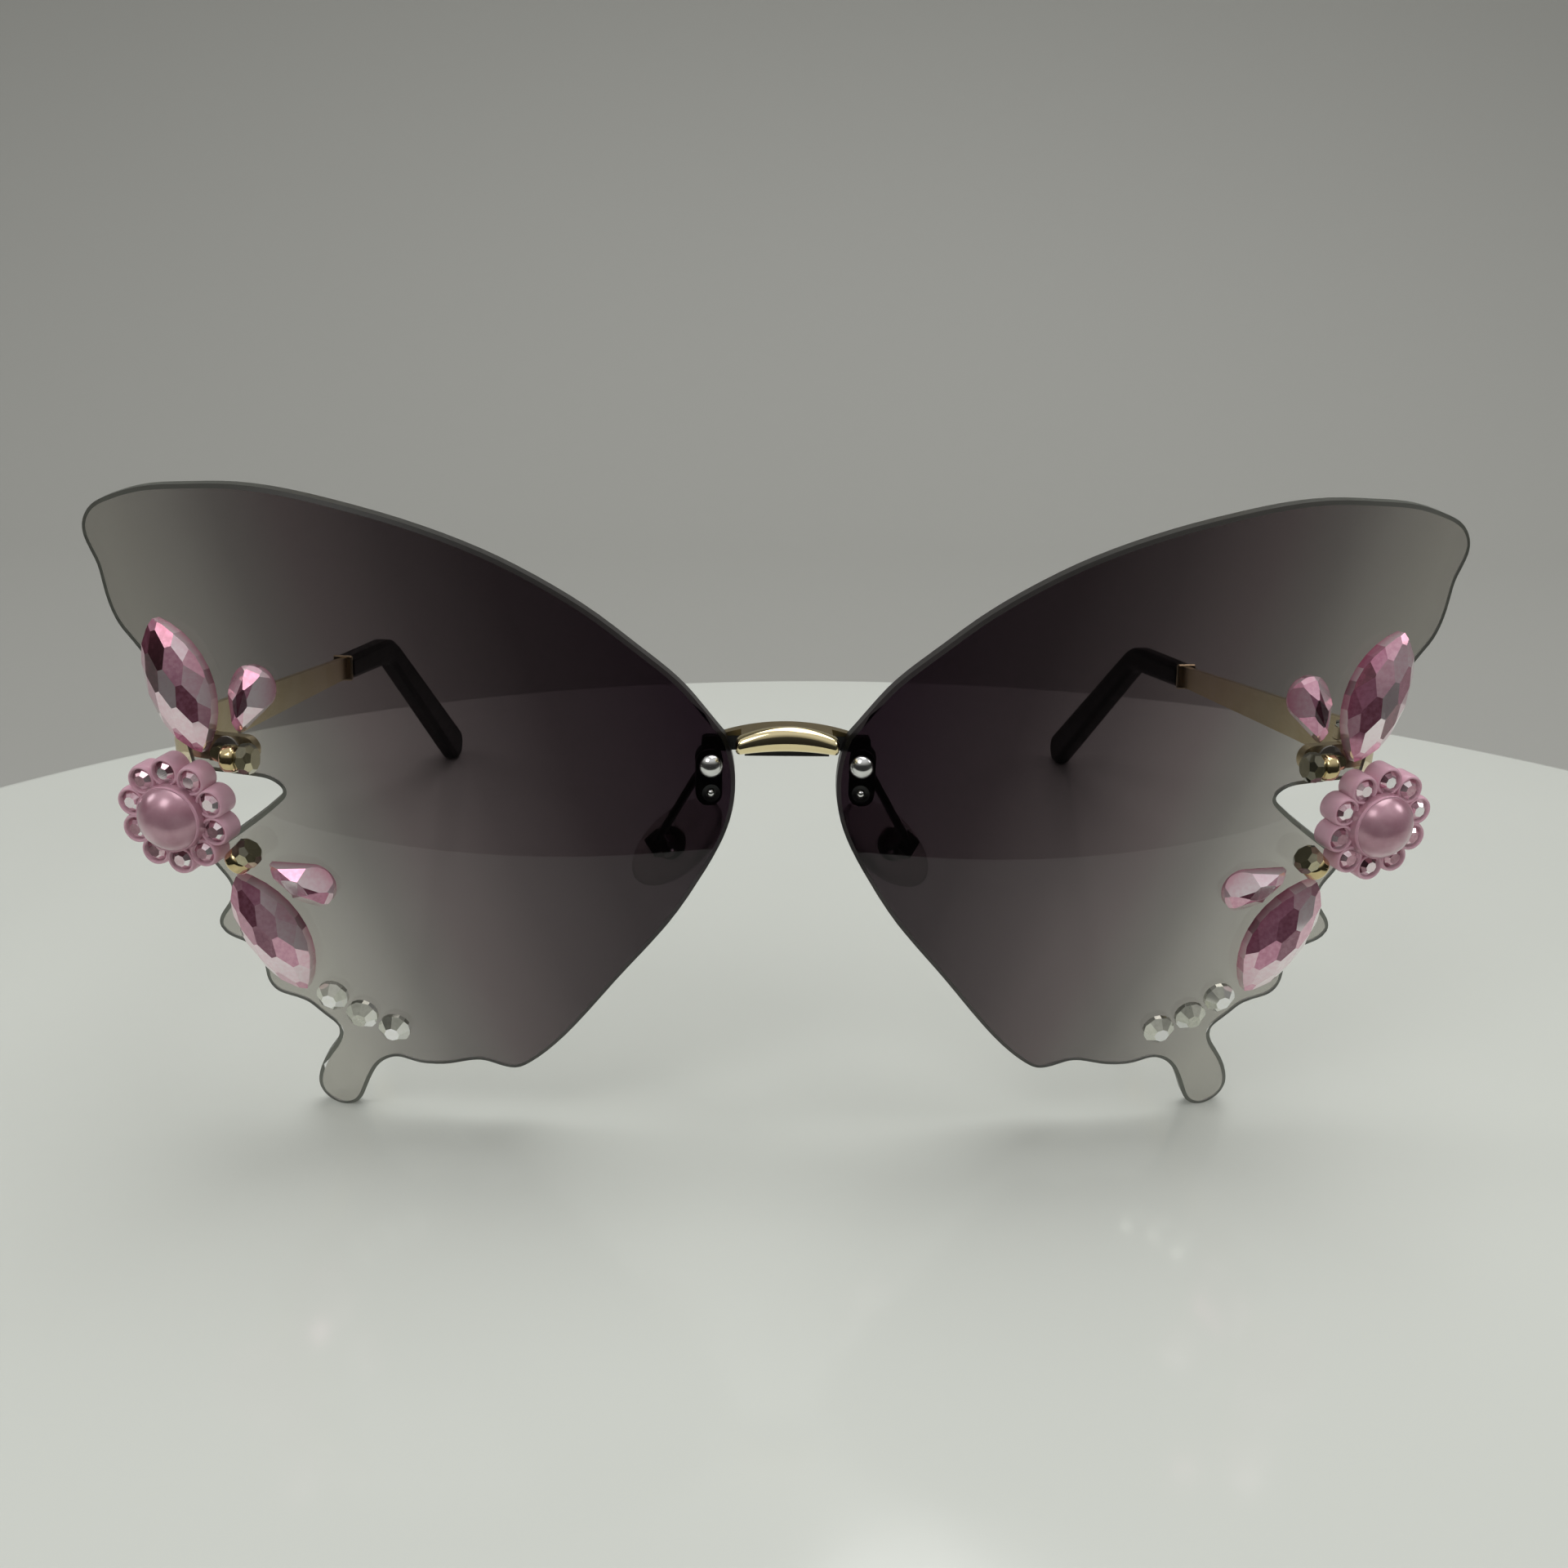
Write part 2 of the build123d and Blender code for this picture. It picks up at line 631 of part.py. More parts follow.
def make_temple_arm():
    """Flat bevelled arm with its middle knuckle at the front and its tang at the back."""
    front_top, front_bottom = (butt_gap, arm_front_height / 2), (butt_gap, -arm_front_height / 2)
    rear_top, rear_bottom = along(arm_length, arm_rear_height / 2), along(arm_length, -arm_rear_height / 2)
    corners = [front_bottom, rear_bottom, rear_top, front_top]
    arm = slab(make_face(Polyline(*corners, close=True)), arm_thickness)
    arm = chamfer(arm.faces().sort_by(Axis.Z)[-1].edges(), arm_bevel)
    knuckle = make_knuckle(0, 1, hinge_screw_radius + hinge_running_gap)
    return temple_plane * (arm + make_tang(0)) + hinge_plane * knuckle


def make_tip_collar():
    """Bright collar between the arm and the tip."""
    start = arm_length + seat_gap
    collar = slab(bar_face(start, start + collar_length, collar_height, collar_height), collar_thickness)
    collar = chamfer(collar.edges(), collar_edge)
    return temple_plane * (collar - make_tang(tang_gap))


def touch_point(start, centre, radius, side):
    """Where a line from start touches a circle, on its upper (1) or lower (-1) side."""
    across, up = centre[0] - start[0], centre[1] - start[1]
    reach = hypot(across, up)
    angle = atan2(up, across) + side * asin(radius / reach)
    length = sqrt(reach**2 - radius**2)
    return start[0] + length * cos(angle), start[1] + length * sin(angle)


def make_temple_tip():
    """Plastic tip: straight over the tang, then bent down to a round end on the table."""
    fall, drop = radians(temple_fall), radians(tip_fall)
    start = arm_length + collar_length + 2 * seat_gap
    elbow = along(start + tip_straight)
    end_height = tip_end_radius - hinge_z
    run = (elbow[1] - end_height) * cos(drop) / sin(drop)
    centre = (elbow[0] + run, end_height)
    lean = (fall + drop) / 2
    half = tip_elbow_height / 2 / cos((drop - fall) / 2)
    elbow_top = (elbow[0] + half * sin(lean), elbow[1] + half * cos(lean))
    elbow_bottom = (elbow[0] - half * sin(lean), elbow[1] - half * cos(lean))
    end_top = touch_point(elbow_top, centre, tip_end_radius, 1)
    end_bottom = touch_point(elbow_bottom, centre, tip_end_radius, -1)
    end_far = (centre[0] + tip_end_radius * cos(drop), centre[1] - tip_end_radius * sin(drop))
    front_top, front_bottom = along(start, tip_front_height / 2), along(start, -tip_front_height / 2)
    sides = Polyline(end_bottom, elbow_bottom, front_bottom, front_top, elbow_top, end_top)
    face = make_face([sides, ThreePointArc(end_top, end_far, end_bottom)])
    face = fillet(nearest_vertices(face, [elbow_top]), tip_top_bend)
    face = fillet(nearest_vertices(face, [elbow_bottom]), tip_bottom_bend)
    tip = slab(face, tip_thickness)
    faces = tip.faces().sort_by(Axis.Z)
    front_x = max(front_top[0], front_bottom[0]) + seat_gap
    rims = [edge for edge in faces[0].edges() + faces[-1].edges() if edge.bounding_box().max.X > front_x]
    tip = chamfer(rims, tip_edge)
    return temple_plane * (tip - make_tang(tang_gap))


def nearest_vertices(face, places):
    """The vertices of a face that lie nearest to the places."""
    return [min(face.vertices(), key=lambda v: hypot(v.X - place[0], v.Y - place[1])) for place in places]


# Flowers
flower_seat = lens_seat(*flower_place) * Pos(0, 0, glue_gap)


def petal_turns():
    """Angle of each cup of the flower."""
    return [petal_first_angle + 360 / petal_count * index for index in range(petal_count)]


def make_flower():
    """Ring of ten cups round a well for the pearl."""
    petal = disc(petal_radius, petal_height)
    cup_floor = petal_height - cup_depth
    flower = disc(petal_ring_radius, flower_body_height)
    for turn in petal_turns():
        flower += Rot(0, 0, turn) * Pos(petal_ring_radius, 0, 0) * petal
    for turn in petal_turns():
        cup = Cone(cup_floor_radius, cup_mouth_radius, cup_depth, align=bottom)
        flower -= Rot(0, 0, turn) * Pos(petal_ring_radius, 0, cup_floor) * cup
    flower -= disc(pearl_radius + pearl_socket_gap, petal_height, pearl_socket_floor)
    return flower_seat * flower


def make_pearl():
    """Half a pearl, flat on the floor of its well."""
    half_ball = Sphere(pearl_radius, arc_size1=0, align=bottom)
    return flower_seat * Pos(0, 0, pearl_socket_floor + seat_gap) * half_ball


def make_flower_stones():
    """Ten foil-backed stones, one in each cup."""
    radius = cup_floor_radius - cup_stone_gap
    stone = polygon_stone(radius, cup_stone_height, cup_stone_sides, 1)
    lift = petal_height - cup_depth + cup_stone_gap
    places = [Rot(0, 0, turn) * Pos(petal_ring_radius, 0, lift) for turn in petal_turns()]
    return Compound([(flower_seat * place * stone).solid() for place in places])


# Gems
def glued(shape, place, angle):
    """Gem turned to its angle and glued on the lens front at a place."""
    return lens_seat(*place) * Pos(0, 0, glue_gap) * Rot(0, 0, angle) * shape


def cut_facets(outline, length, width, height):
    """Gem with a domed crown of diamond facets, each one a plane that touches the dome."""
    gem = extrude(outline, height)
    drop = height * (1 - gem_girdle_share)
    rows = range(-gem_facet_rows, gem_facet_rows + 1)
    for row, column in [(row, column) for row in rows for column in rows if (row + column) % 2 == 0]:
        u, v = column * gem_facet_share * length, row * gem_facet_share * width
        slope_u, slope_v = 8 * drop * u / length**2, 8 * drop * v / width**2
        crest = height - drop * (4 * u**2 / length**2 + 4 * v**2 / width**2)
        gem = split(gem, Plane(origin=(u, v, crest), z_dir=(slope_u, slope_v, 1)), keep=Keep.BOTTOM)
    return gem


def make_marquise(length):
    """Boat-shaped gem between two equal arcs."""
    arc_radius = (length**2 / 4 + marquise_width**2 / 4) / marquise_width
    centre = arc_radius - marquise_width / 2
    outline = Pos(0, centre) * Circle(arc_radius) & Pos(0, -centre) * Circle(arc_radius)
    return cut_facets(outline, length, marquise_width, marquise_height)


def make_teardrop():
    """Drop-shaped gem, its point along x."""
    round_radius = teardrop_width / 2
    centre = (round_radius - teardrop_length / 2, 0)
    point = (teardrop_length / 2, 0)
    upper = touch_point(point, centre, round_radius, -1)
    lower = touch_point(point, centre, round_radius, 1)
    back = (-teardrop_length / 2, 0)
    outline = make_face([Polyline(lower, point, upper), ThreePointArc(upper, back, lower)])
    return cut_facets(outline, teardrop_length, teardrop_width, teardrop_height)


def make_bead(place, angle):
    """Bead on its side: a gold setting next to the flower and a faceted glass end."""
    setting = disc(bead_setting_radius, bead_setting_length)
    glass = polygon_stone(bead_glass_radius, bead_glass_length, bead_glass_sides, 2)
    glass = Pos(0, 0, bead_setting_length) * glass
    length = bead_setting_length + bead_glass_length
    lay = Pos(0, 0, bead_glass_radius) * Rot(0, 90, 0) * Pos(0, 0, -length / 2)
    return glued(lay * setting, place, angle), glued(lay * glass, place, angle)


def make_clear_stones():
    """Row of round clear stones from the tip of the lower marquise along the scallops."""
    stone = polygon_stone(clear_stone_radius, clear_stone_height, clear_stone_sides, 2)
    x, z = gem_place(lower_marquise_place_shares)
    tilt = radians(lower_marquise_angle)
    x -= lower_marquise_length / 2 * cos(tilt)
    z -= lower_marquise_length / 2 * sin(tilt)
    step = clear_stone_radius + clear_row_lead
    stones = []
    for angle in clear_row_turns:
        x += step * cos(radians(angle))
        z += step * sin(radians(angle))
        stones.append(glued(stone, (x, z), 0).solid())
        step = 2 * clear_stone_radius + clear_stone_gap
    return Compound(stones)


# Each sub-part under the name of its node
nodes = {}


def add_sides(name, shape):
    """The piece on the +X side and its mirror image on the -X side."""
    nodes["right_" + name] = shape
    nodes["left_" + name] = mirrored(shape)


add_sides("lens", make_lens())
nodes["bridge_core"] = make_bridge_core()
nodes["bridge_top_rail"] = make_bridge_top_rail()
nodes["bridge_front_bar"] = make_bridge_front_bar()
bridge_head = dome(bridge_head_radius, bridge_head_height, bridge_head_rim)
end_head = disc(end_head_radius, end_head_height)
nodes["bridge_screws"] = both_sides([bridge_seat * make_screw(bridge_head, bridge_plate_thickness)])
nodes["bridge_washers"] = both_sides([bridge_seat * make_washer()])
nodes["bridge_nuts"] = both_sides([bridge_seat * make_nut(bridge_plate_thickness)])
nodes["bridge_pegs"] = both_sides([bridge_seat * Pos(0, -bridge_peg_drop, 0) * make_peg()])
add_sides("pad_arm", make_pad_arm())
nodes["pad_screws"] = both_sides([make_pad_screw()])
add_sides("pad_mount", make_pad_mount())
add_sides("nose_pad", make_nose_pad())
add_sides("end_piece", make_end_piece())
nodes["end_piece_screws"] = both_sides([end_seat * make_screw(end_head, end_plate_thickness)])
nodes["end_piece_washers"] = both_sides([end_seat * make_washer()])
nodes["end_piece_nuts"] = both_sides([end_seat * make_nut(end_plate_thickness)])
nodes["end_piece_pegs"] = both_sides([end_seat * Pos(-end_peg_inset, 0, 0) * make_peg()])
nodes["hinge_screws"] = both_sides([make_hinge_screw()])
add_sides("temple_arm", make_temple_arm())
add_sides("tip_collar", make_tip_collar())
add_sides("temple_tip", make_temple_tip())
add_sides("flower", make_flower())
add_sides("pearl", make_pearl())
add_sides("flower_stones", make_flower_stones())
upper_marquise = make_marquise(upper_marquise_length)
lower_marquise = make_marquise(lower_marquise_length)
for name, gem, shares, angle in (
    ("upper_marquise", upper_marquise, upper_marquise_place_shares, upper_marquise_angle),
    ("lower_marquise", lower_marquise, lower_marquise_place_shares, lower_marquise_angle),
    ("upper_teardrop", make_teardrop(), upper_teardrop_place_shares, upper_teardrop_angle),
    ("lower_teardrop", make_teardrop(), lower_teardrop_place_shares, lower_teardrop_angle),
):
    add_sides(name, glued(gem, gem_place(shares), angle))
for level, shares, angle in (
    ("upper", upper_bead_place_shares, upper_bead_angle),
    ("lower", lower_bead_place_shares, lower_bead_angle),
):
    setting, glass = make_bead(gem_place(shares), angle)
    add_sides(level + "_bead_setting", setting)
    add_sides(level + "_bead_glass", glass)
add_sides("clear_stones", make_clear_stones())

# The origin goes to the middle of the footprint, on the table
box = Compound(list(nodes.values())).bounding_box()
shift = Pos(-box.center().X, -box.center().Y, -box.min.Z)
os.makedirs("parts", exist_ok=True)
for name, shape in nodes.items():
    export_step(shift * shape, f"parts/{name}.step")

print("nodes", len(nodes), "size", box.size)
print("hinge axis", shift * Pos(hinge_x, hinge_y, hinge_z))
print("pad axis at", shift * Pos(*pad_plane.from_local_coords((0, 0, pad_axis_z))), "along", pad_plane.y_dir)
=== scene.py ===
"""Looks for a pair of rimless butterfly sunglasses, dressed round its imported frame.

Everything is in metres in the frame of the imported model: +X to the right as seen from the
front, the front faces -Y, and the glasses stand on z = 0. New pieces are modelled in
millimetres at the origin and then set on their seats, which are read from the frame.
"""

from __future__ import annotations

import logging
import random
from dataclasses import dataclass, field
from enum import Enum
from functools import partial
from math import asin, atan2, cos, pi, radians, sin, sqrt
from typing import Callable, Iterator

import bpy
from bpy.types import Material, MeshPolygon, Node, NodeTree, Object
from mathutils import Matrix, Vector

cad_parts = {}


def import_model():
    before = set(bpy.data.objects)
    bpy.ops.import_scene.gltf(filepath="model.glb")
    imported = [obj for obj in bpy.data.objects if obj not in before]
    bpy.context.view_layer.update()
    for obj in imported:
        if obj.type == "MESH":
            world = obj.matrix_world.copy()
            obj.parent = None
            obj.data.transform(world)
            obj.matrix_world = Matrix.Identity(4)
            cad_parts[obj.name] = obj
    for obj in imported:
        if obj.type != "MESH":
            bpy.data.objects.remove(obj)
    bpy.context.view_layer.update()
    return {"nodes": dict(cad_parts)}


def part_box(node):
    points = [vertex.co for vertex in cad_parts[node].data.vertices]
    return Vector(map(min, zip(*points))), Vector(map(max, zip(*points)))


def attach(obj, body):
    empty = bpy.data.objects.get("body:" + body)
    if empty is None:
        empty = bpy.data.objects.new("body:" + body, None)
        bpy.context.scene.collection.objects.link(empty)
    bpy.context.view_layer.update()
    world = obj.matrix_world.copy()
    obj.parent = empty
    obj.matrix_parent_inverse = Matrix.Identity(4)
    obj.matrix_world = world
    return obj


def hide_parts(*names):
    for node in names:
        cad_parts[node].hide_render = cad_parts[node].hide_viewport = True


log = logging.getLogger("sunglasses")

Triple = tuple[float, float, float]
Stops = tuple[tuple[float, str], ...]
Corner = tuple[int, ...]
Step = Callable[[], object]

MM = 0.001
SIDES = ("left", "right")
# Mesh attribute that holds each facet's painted reflection, pale or dark
PAINTED_FACET_LIGHT = "painted_facet_light"
RIM = "rim"
# Blender's noise seldom leaves this range
NOISE_RANGE = (0.35, 0.65)
# A face looks along an axis when its normal has more than this share of it
FACING = 0.5
# Cosine of the turn, and the distance in metres, within which two faces are one flat
SAME_TURN = 0.99995
SAME_PLANE = 2e-6
# Cells per metre in which two corners are one
CORNER_CELLS = 2e6
# Degrees up to which the triangles of a solid are one flat face
FLAT_ANGLE = 1.0
# Millimetres on the bench: edges at one level, a saw's reach, and corners that are one
LEVEL_GAP = 0.01
SAW_GAP = 1e-5
BENCH_WELD = 1e-4
# Metres in the frame within which corners are one
FRAME_WELD = 1e-7


# Colours and nodes
def linear(code: str) -> tuple[float, float, float, float]:
    """Turns an sRGB hex colour into linear values.

    Args:
        code: the colour as six hex digits after a hash.

    Returns:
        Red, green, blue and a full alpha, linear.
    """
    parts = [int(code[place:place + 2], 16) / 255 for place in (1, 3, 5)]
    red, green, blue = [
        part / 12.92 if part <= 0.04045 else ((part + 0.055) / 1.055) ** 2.4 for part in parts
    ]
    return red, green, blue, 1.0


def connect(node: Node, links: dict) -> None:
    """Feeds the inputs of a node.

    Args:
        node: the node that is fed.
        links: what feeds each input, by the input's name or number: an output, or a node
            for its first output.
    """
    for name, source in links.items():
        output = source.outputs[0] if isinstance(source, Node) else source
        node.id_data.links.new(output, node.inputs[name])


def add_node(tree: NodeTree, kind: str, links: dict | None = None, values: dict | None = None,
             stops: Stops = (), **settings: object) -> Node:
    """Adds a node to a tree with its settings and links.

    Args:
        tree: the tree that gets the node.
        kind: the node's type, without the ShaderNode before it.
        links: what feeds each input, as in connect.
        values: the value of each input, by its name or number.
        stops: for a colour ramp, places from 0 to 1, each with its hex colour.
        settings: the node's own properties.

    Returns:
        The new node.
    """
    node = tree.nodes.new(f"ShaderNode{kind}")
    for name, value in settings.items():
        setattr(node, name, value)
    for name, value in (values or {}).items():
        node.inputs[name].default_value = value
    connect(node, links or {})
    if stops:
        while len(node.color_ramp.elements) < len(stops):
            node.color_ramp.elements.new(1.0)
        for element, (place, code) in zip(node.color_ramp.elements, stops):
            element.position, element.color = place, linear(code)
    return node


# Finishes
@dataclass(frozen=True)
class Finish:
    """A surface finish with one shader.

    Args:
        name: the material's name.
        slot: a material slot name, not used.
        colour: the sRGB hex colour.
        roughness: from 0, mirror, to 1, matt.
        metallic: 1 for metal.
        coat: weight of a clear coat.
    """

    name: str
    slot: str
    colour: str
    roughness: float = 0.3
    metallic: float = 0.0
    coat: float = 0.0

    def shader_values(self) -> dict[str, object]:
        """The values that hold all over the surface."""
        return {
            "Base Color": linear(self.colour), "Roughness": self.roughness,
            "Metallic": self.metallic, "Coat Weight": self.coat,
        }

    def paint(self, tree: NodeTree, shader: Node) -> None:
        """Links the pattern of this finish to the shader."""

    def patches(self, tree: NodeTree, size_mm: float, low: float, high: float,
                stretch: Triple = (1, 1, 1), detail: float = 3.0) -> Node:
        """Soft patches of a real size, as wiping, dye or wear leaves them.

        Args:
            tree: the tree that gets the pattern.
            size_mm: size of one patch in millimetres.
            low: the value between the patches.
            high: the value in their middles.
            stretch: how much finer the pattern is along x, y and z.
            detail: how many finer layers it has.

        Returns:
            The node that gives the value, from low to high.
        """
        place = add_node(tree, "TexCoord").outputs["Object"]
        stretched = add_node(tree, "Mapping", {"Vector": place}, {"Scale": stretch})
        noise = add_node(tree, "TexNoise", {"Vector": stretched},
                         {"Scale": 1 / (size_mm * MM), "Detail": detail})
        start, end = NOISE_RANGE
        return add_node(tree, "MapRange", {"Value": noise},
                        {"From Min": start, "From Max": end, "To Min": low, "To Max": high})

    def material(self) -> Material:
        """Makes the Blender material of this finish once.

        Returns:
            The material.
        """
        made = bpy.data.materials.get(self.name)
        if not made:
            made = bpy.data.materials.new(self.name)
            made.use_nodes = True
            shader = made.node_tree.nodes["Principled BSDF"]
            for name, value in self.shader_values().items():
                shader.inputs[name].default_value = value
            self.paint(made.node_tree, shader)
        return made


@dataclass(frozen=True)
class PolishedMetal(Finish):
    """Polished plated metal: mirror reflections, faintly clouded by wiping marks."""

    metallic: float = 1.0
    wipe_mm: float = 1.4
    wipe_stretch: Triple = (1, 1, 2)
    haze: float = 0.06

    def paint(self, tree: NodeTree, shader: Node) -> None:
        """Clouds the mirror with faint wiping marks."""
        ends = (self.roughness, self.roughness + self.haze)
        connect(shader, {"Roughness": self.patches(tree, self.wipe_mm, *ends, self.wipe_stretch)})


@dataclass(frozen=True)
class BrushedMetal(Finish):
    """Plated metal brushed along the temple: fine lines that stretch each highlight."""

    metallic: float = 1.0
    line_mm: float = 0.12
    line_stretch: Triple = (1, 0.02, 1)
    line_detail: float = 1.0
    cloud_mm: float = 4.8
    depth_mm: float = 0.004
    dark_colour: str = "#d9c8a0"

    def paint(self, tree: NodeTree, shader: Node) -> None:
        """Draws lines along y, with broad cloudy changes of tone.

        Args:
            tree: the material's nodes.
            shader: the shader that gets the pattern.
        """
        lines = self.patches(tree, self.line_mm, 0.0, 0.5, self.line_stretch, self.line_detail)
        clouds = self.patches(tree, self.cloud_mm, 0.0, 0.5)
        tone = add_node(tree, "Math", {0: lines, 1: clouds}, operation="ADD")
        base = add_node(tree, "ValToRGB", {"Fac": tone},
                        stops=((0.0, self.dark_colour), (1.0, self.colour)))
        bump = add_node(tree, "Bump", {"Height": lines}, {"Distance": self.depth_mm * MM})
        connect(shader, {"Base Color": base, "Normal": bump})


@dataclass(frozen=True)
class Enamel(Finish):
    """Baked enamel: deep glossy colour with a faint orange-peel ripple."""

    coat: float = 0.6
    peel_mm: float = 0.5
    peel_depth_mm: float = 0.006
    peel_strength: float = 0.3

    def paint(self, tree: NodeTree, shader: Node) -> None:
        """Ripples the surface as sprayed enamel dries.

        Args:
            tree: the material's nodes.
            shader: the shader that gets the pattern.
        """
        peel = self.patches(tree, self.peel_mm, 0.0, 1.0)
        bump = add_node(tree, "Bump", {"Height": peel},
                        {"Strength": self.peel_strength, "Distance": self.peel_depth_mm * MM})
        connect(shader, {"Normal": bump})


@dataclass(frozen=True)
class MouldedPlastic(Finish):
    """Injection-moulded plastic: a soft gloss broken by fine handling marks."""

    scuff_mm: float = 0.9
    scuff_stretch: Triple = (1, 0.25, 1)
    scuff_detail: float = 5.0
    scuff_roughness: float = 0.14
    worn_colour: str = "#060506"
    gloss: float = 0.5

    def shader_values(self) -> dict[str, object]:
        """A duller mirror where the plastic is matt."""
        return super().shader_values() | {"Specular IOR Level": self.gloss}

    def paint(self, tree: NodeTree, shader: Node) -> None:
        """Scuffs the gloss in patches, which also look a little paler.

        Args:
            tree: the material's nodes.
            shader: the shader that gets the pattern.
        """
        worn = self.patches(tree, self.scuff_mm, 0.0, 1.0, self.scuff_stretch, self.scuff_detail)
        base = add_node(tree, "ValToRGB", {"Fac": worn},
                        stops=((0.4, self.colour), (1.0, self.worn_colour)))
        rough = add_node(tree, "Math", {0: worn}, {1: self.scuff_roughness, 2: self.roughness},
                         operation="MULTIPLY_ADD")
        connect(shader, {"Base Color": base, "Roughness": rough})


@dataclass(frozen=True)
class TintedLens(Finish):
    """Tinted polycarbonate: nearly opaque plum at the nose, clearing to warm grey outwards.

    The tint depends on the distance from the middle of the face and a little on the height,
    as in a lens that was dipped at a slant. Its ground rim is a thin matt band, its dull dark grey a
    painted shade of the dark look into the glass edge.
    """

    tint_stops: Stops = (
        (0.0, "#2a1f27"), (0.27, "#3b3236"), (0.45, "#544b4e"), (0.63, "#73696b"), (0.75, "#868180"),
        (0.86, "#a6a29f"), (1.0, "#bebbb5"),
    )
    tint_start_mm: float = 5.0
    tint_run_mm: float = 60.0
    slant_share: float = 0.37
    slant_middle_mm: float = 39.5
    # Painted shade on the rim and its bevel, where one looks into the glass edge
    rim_colour: str = "#3f423d"
    rim_roughness: float = 0.35
    index: float = 1.36
    light_share: float = 0.9

    def shader_values(self) -> dict[str, object]:
        """Clear plastic, its index low for the weak mirror of an anti-glare layer."""
        return super().shader_values() | {"Transmission Weight": 1.0, "IOR": self.index}

    def tint(self, tree: NodeTree) -> Node:
        """The dye, by the slanted distance from the nose.

        Args:
            tree: the material's nodes.

        Returns:
            The node that gives the colour.
        """
        place = add_node(tree, "TexCoord").outputs["Object"]
        axes = add_node(tree, "SeparateXYZ", {0: place}).outputs
        across = add_node(tree, "Math", {0: axes["X"]}, operation="ABSOLUTE")
        slanted = add_node(tree, "Math", {0: axes["Z"], 2: across}, {1: -self.slant_share},
                           operation="MULTIPLY_ADD")
        start = (self.tint_start_mm - self.slant_share * self.slant_middle_mm) * MM
        share = add_node(tree, "MapRange", {"Value": slanted},
                         {"From Min": start, "From Max": start + self.tint_run_mm * MM})
        return add_node(tree, "ValToRGB", {"Fac": share}, stops=self.tint_stops)

    def rim(self, tree: NodeTree) -> Node:
        """Tells the ground rim and its bevel from the polished faces.

        Args:
            tree: the material's nodes.

        Returns:
            The node that gives 1 on the rim and its bevel, and 0 on the faces.
        """
        facing = add_node(tree, "NewGeometry").outputs["True Normal"]
        axes = add_node(tree, "SeparateXYZ", {0: facing}).outputs
        depth = add_node(tree, "Math", {0: axes["Y"]}, operation="ABSOLUTE")
        wall = add_node(tree, "Math", {0: depth}, {1: FACING}, operation="LESS_THAN")
        band = add_node(tree, "Attribute", attribute_name=RIM).outputs["Fac"]
        return add_node(tree, "Math", {0: wall, 1: band}, operation="MAXIMUM")

    def paint(self, tree: NodeTree, shader: Node) -> None:
        """Tints the lens, and dulls its rim and darkens it with painted shade.

        Args:
            tree: the material's nodes.
            shader: the shader that gets the pattern.
        """
        tint, rim = self.tint(tree), self.rim(tree)
        # The rim and its bevel take the painted shade colour
        colour = add_node(tree, "Mix", {"Factor": rim, 6: tint}, {7: linear(self.rim_colour)},
                          data_type="RGBA")
        rough = add_node(tree, "Math", {0: rim}, {1: self.rim_roughness}, operation="MULTIPLY")
        # Lamps shine through the tint, so that the pale outer wings cast pale shadows
        lamp = add_node(tree, "LightPath").outputs["Is Shadow Ray"]
        grey = add_node(tree, "RGBToBW", {0: tint})
        passed = add_node(tree, "Math", {0: grey, 1: lamp}, operation="MULTIPLY")
        closed = add_node(tree, "Math", {0: passed}, {1: -self.light_share, 2: 1.0},
                          operation="MULTIPLY_ADD")
        connect(shader, {"Base Color": colour.outputs[2], "Roughness": rough, "Alpha": closed})


@dataclass(frozen=True)
class ClearRubber(Finish):
    """Clear silicone: soft, slightly milky, with a satin skin."""

    clearness: float = 0.88
    index: float = 1.41
    milk_mm: float = 2.5
    milk: float = 0.1
    light_share: float = 0.6

    def shader_values(self) -> dict[str, object]:
        """Mostly see-through, of silicone's index."""
        return super().shader_values() | {"Transmission Weight": self.clearness, "IOR": self.index}

    def paint(self, tree: NodeTree, shader: Node) -> None:
        """Clouds the skin and lets lamps shine through.

        Args:
            tree: the material's nodes.
            shader: the shader that gets the pattern.
        """
        milk = self.patches(tree, self.milk_mm, self.roughness, self.roughness + self.milk)
        lamp = add_node(tree, "LightPath").outputs["Is Shadow Ray"]
        closed = add_node(tree, "Math", {0: lamp}, {1: -self.light_share, 2: 1.0},
                          operation="MULTIPLY_ADD")
        connect(shader, {"Roughness": milk, "Alpha": closed})


@dataclass(frozen=True)
class GlowingPlastic(Finish):
    """Translucent plastic: light goes in and comes out pinker, under a clear gloss.

    Its dye is a little cloudy. glow_colour says how far each colour of light spreads inside.
    """

    cloud_stops: Stops = ()
    cloud_mm: float = 2.2
    cloud_detail: float = 4.0
    glow: float = 0.25
    glow_colour: Triple = (1.0, 0.45, 0.55)
    glow_mm: float = 0.8
    index: float = 1.49
    coat_roughness: float = 0.04

    def shader_values(self) -> dict[str, object]:
        """Scatters light below the surface, more of the red."""
        return super().shader_values() | {
            "Subsurface Weight": self.glow, "Subsurface Radius": self.glow_colour,
            "Subsurface Scale": self.glow_mm * MM, "IOR": self.index,
            "Coat Roughness": self.coat_roughness,
        }

    def paint(self, tree: NodeTree, shader: Node) -> None:
        """Clouds the dye.

        Args:
            tree: the material's nodes.
            shader: the shader that gets the pattern.
        """
        clouds = self.patches(tree, self.cloud_mm, 0.0, 1.0, detail=self.cloud_detail)
        base = add_node(tree, "ValToRGB", {"Fac": clouds}, stops=self.cloud_stops)
        connect(shader, {"Base Color": base})


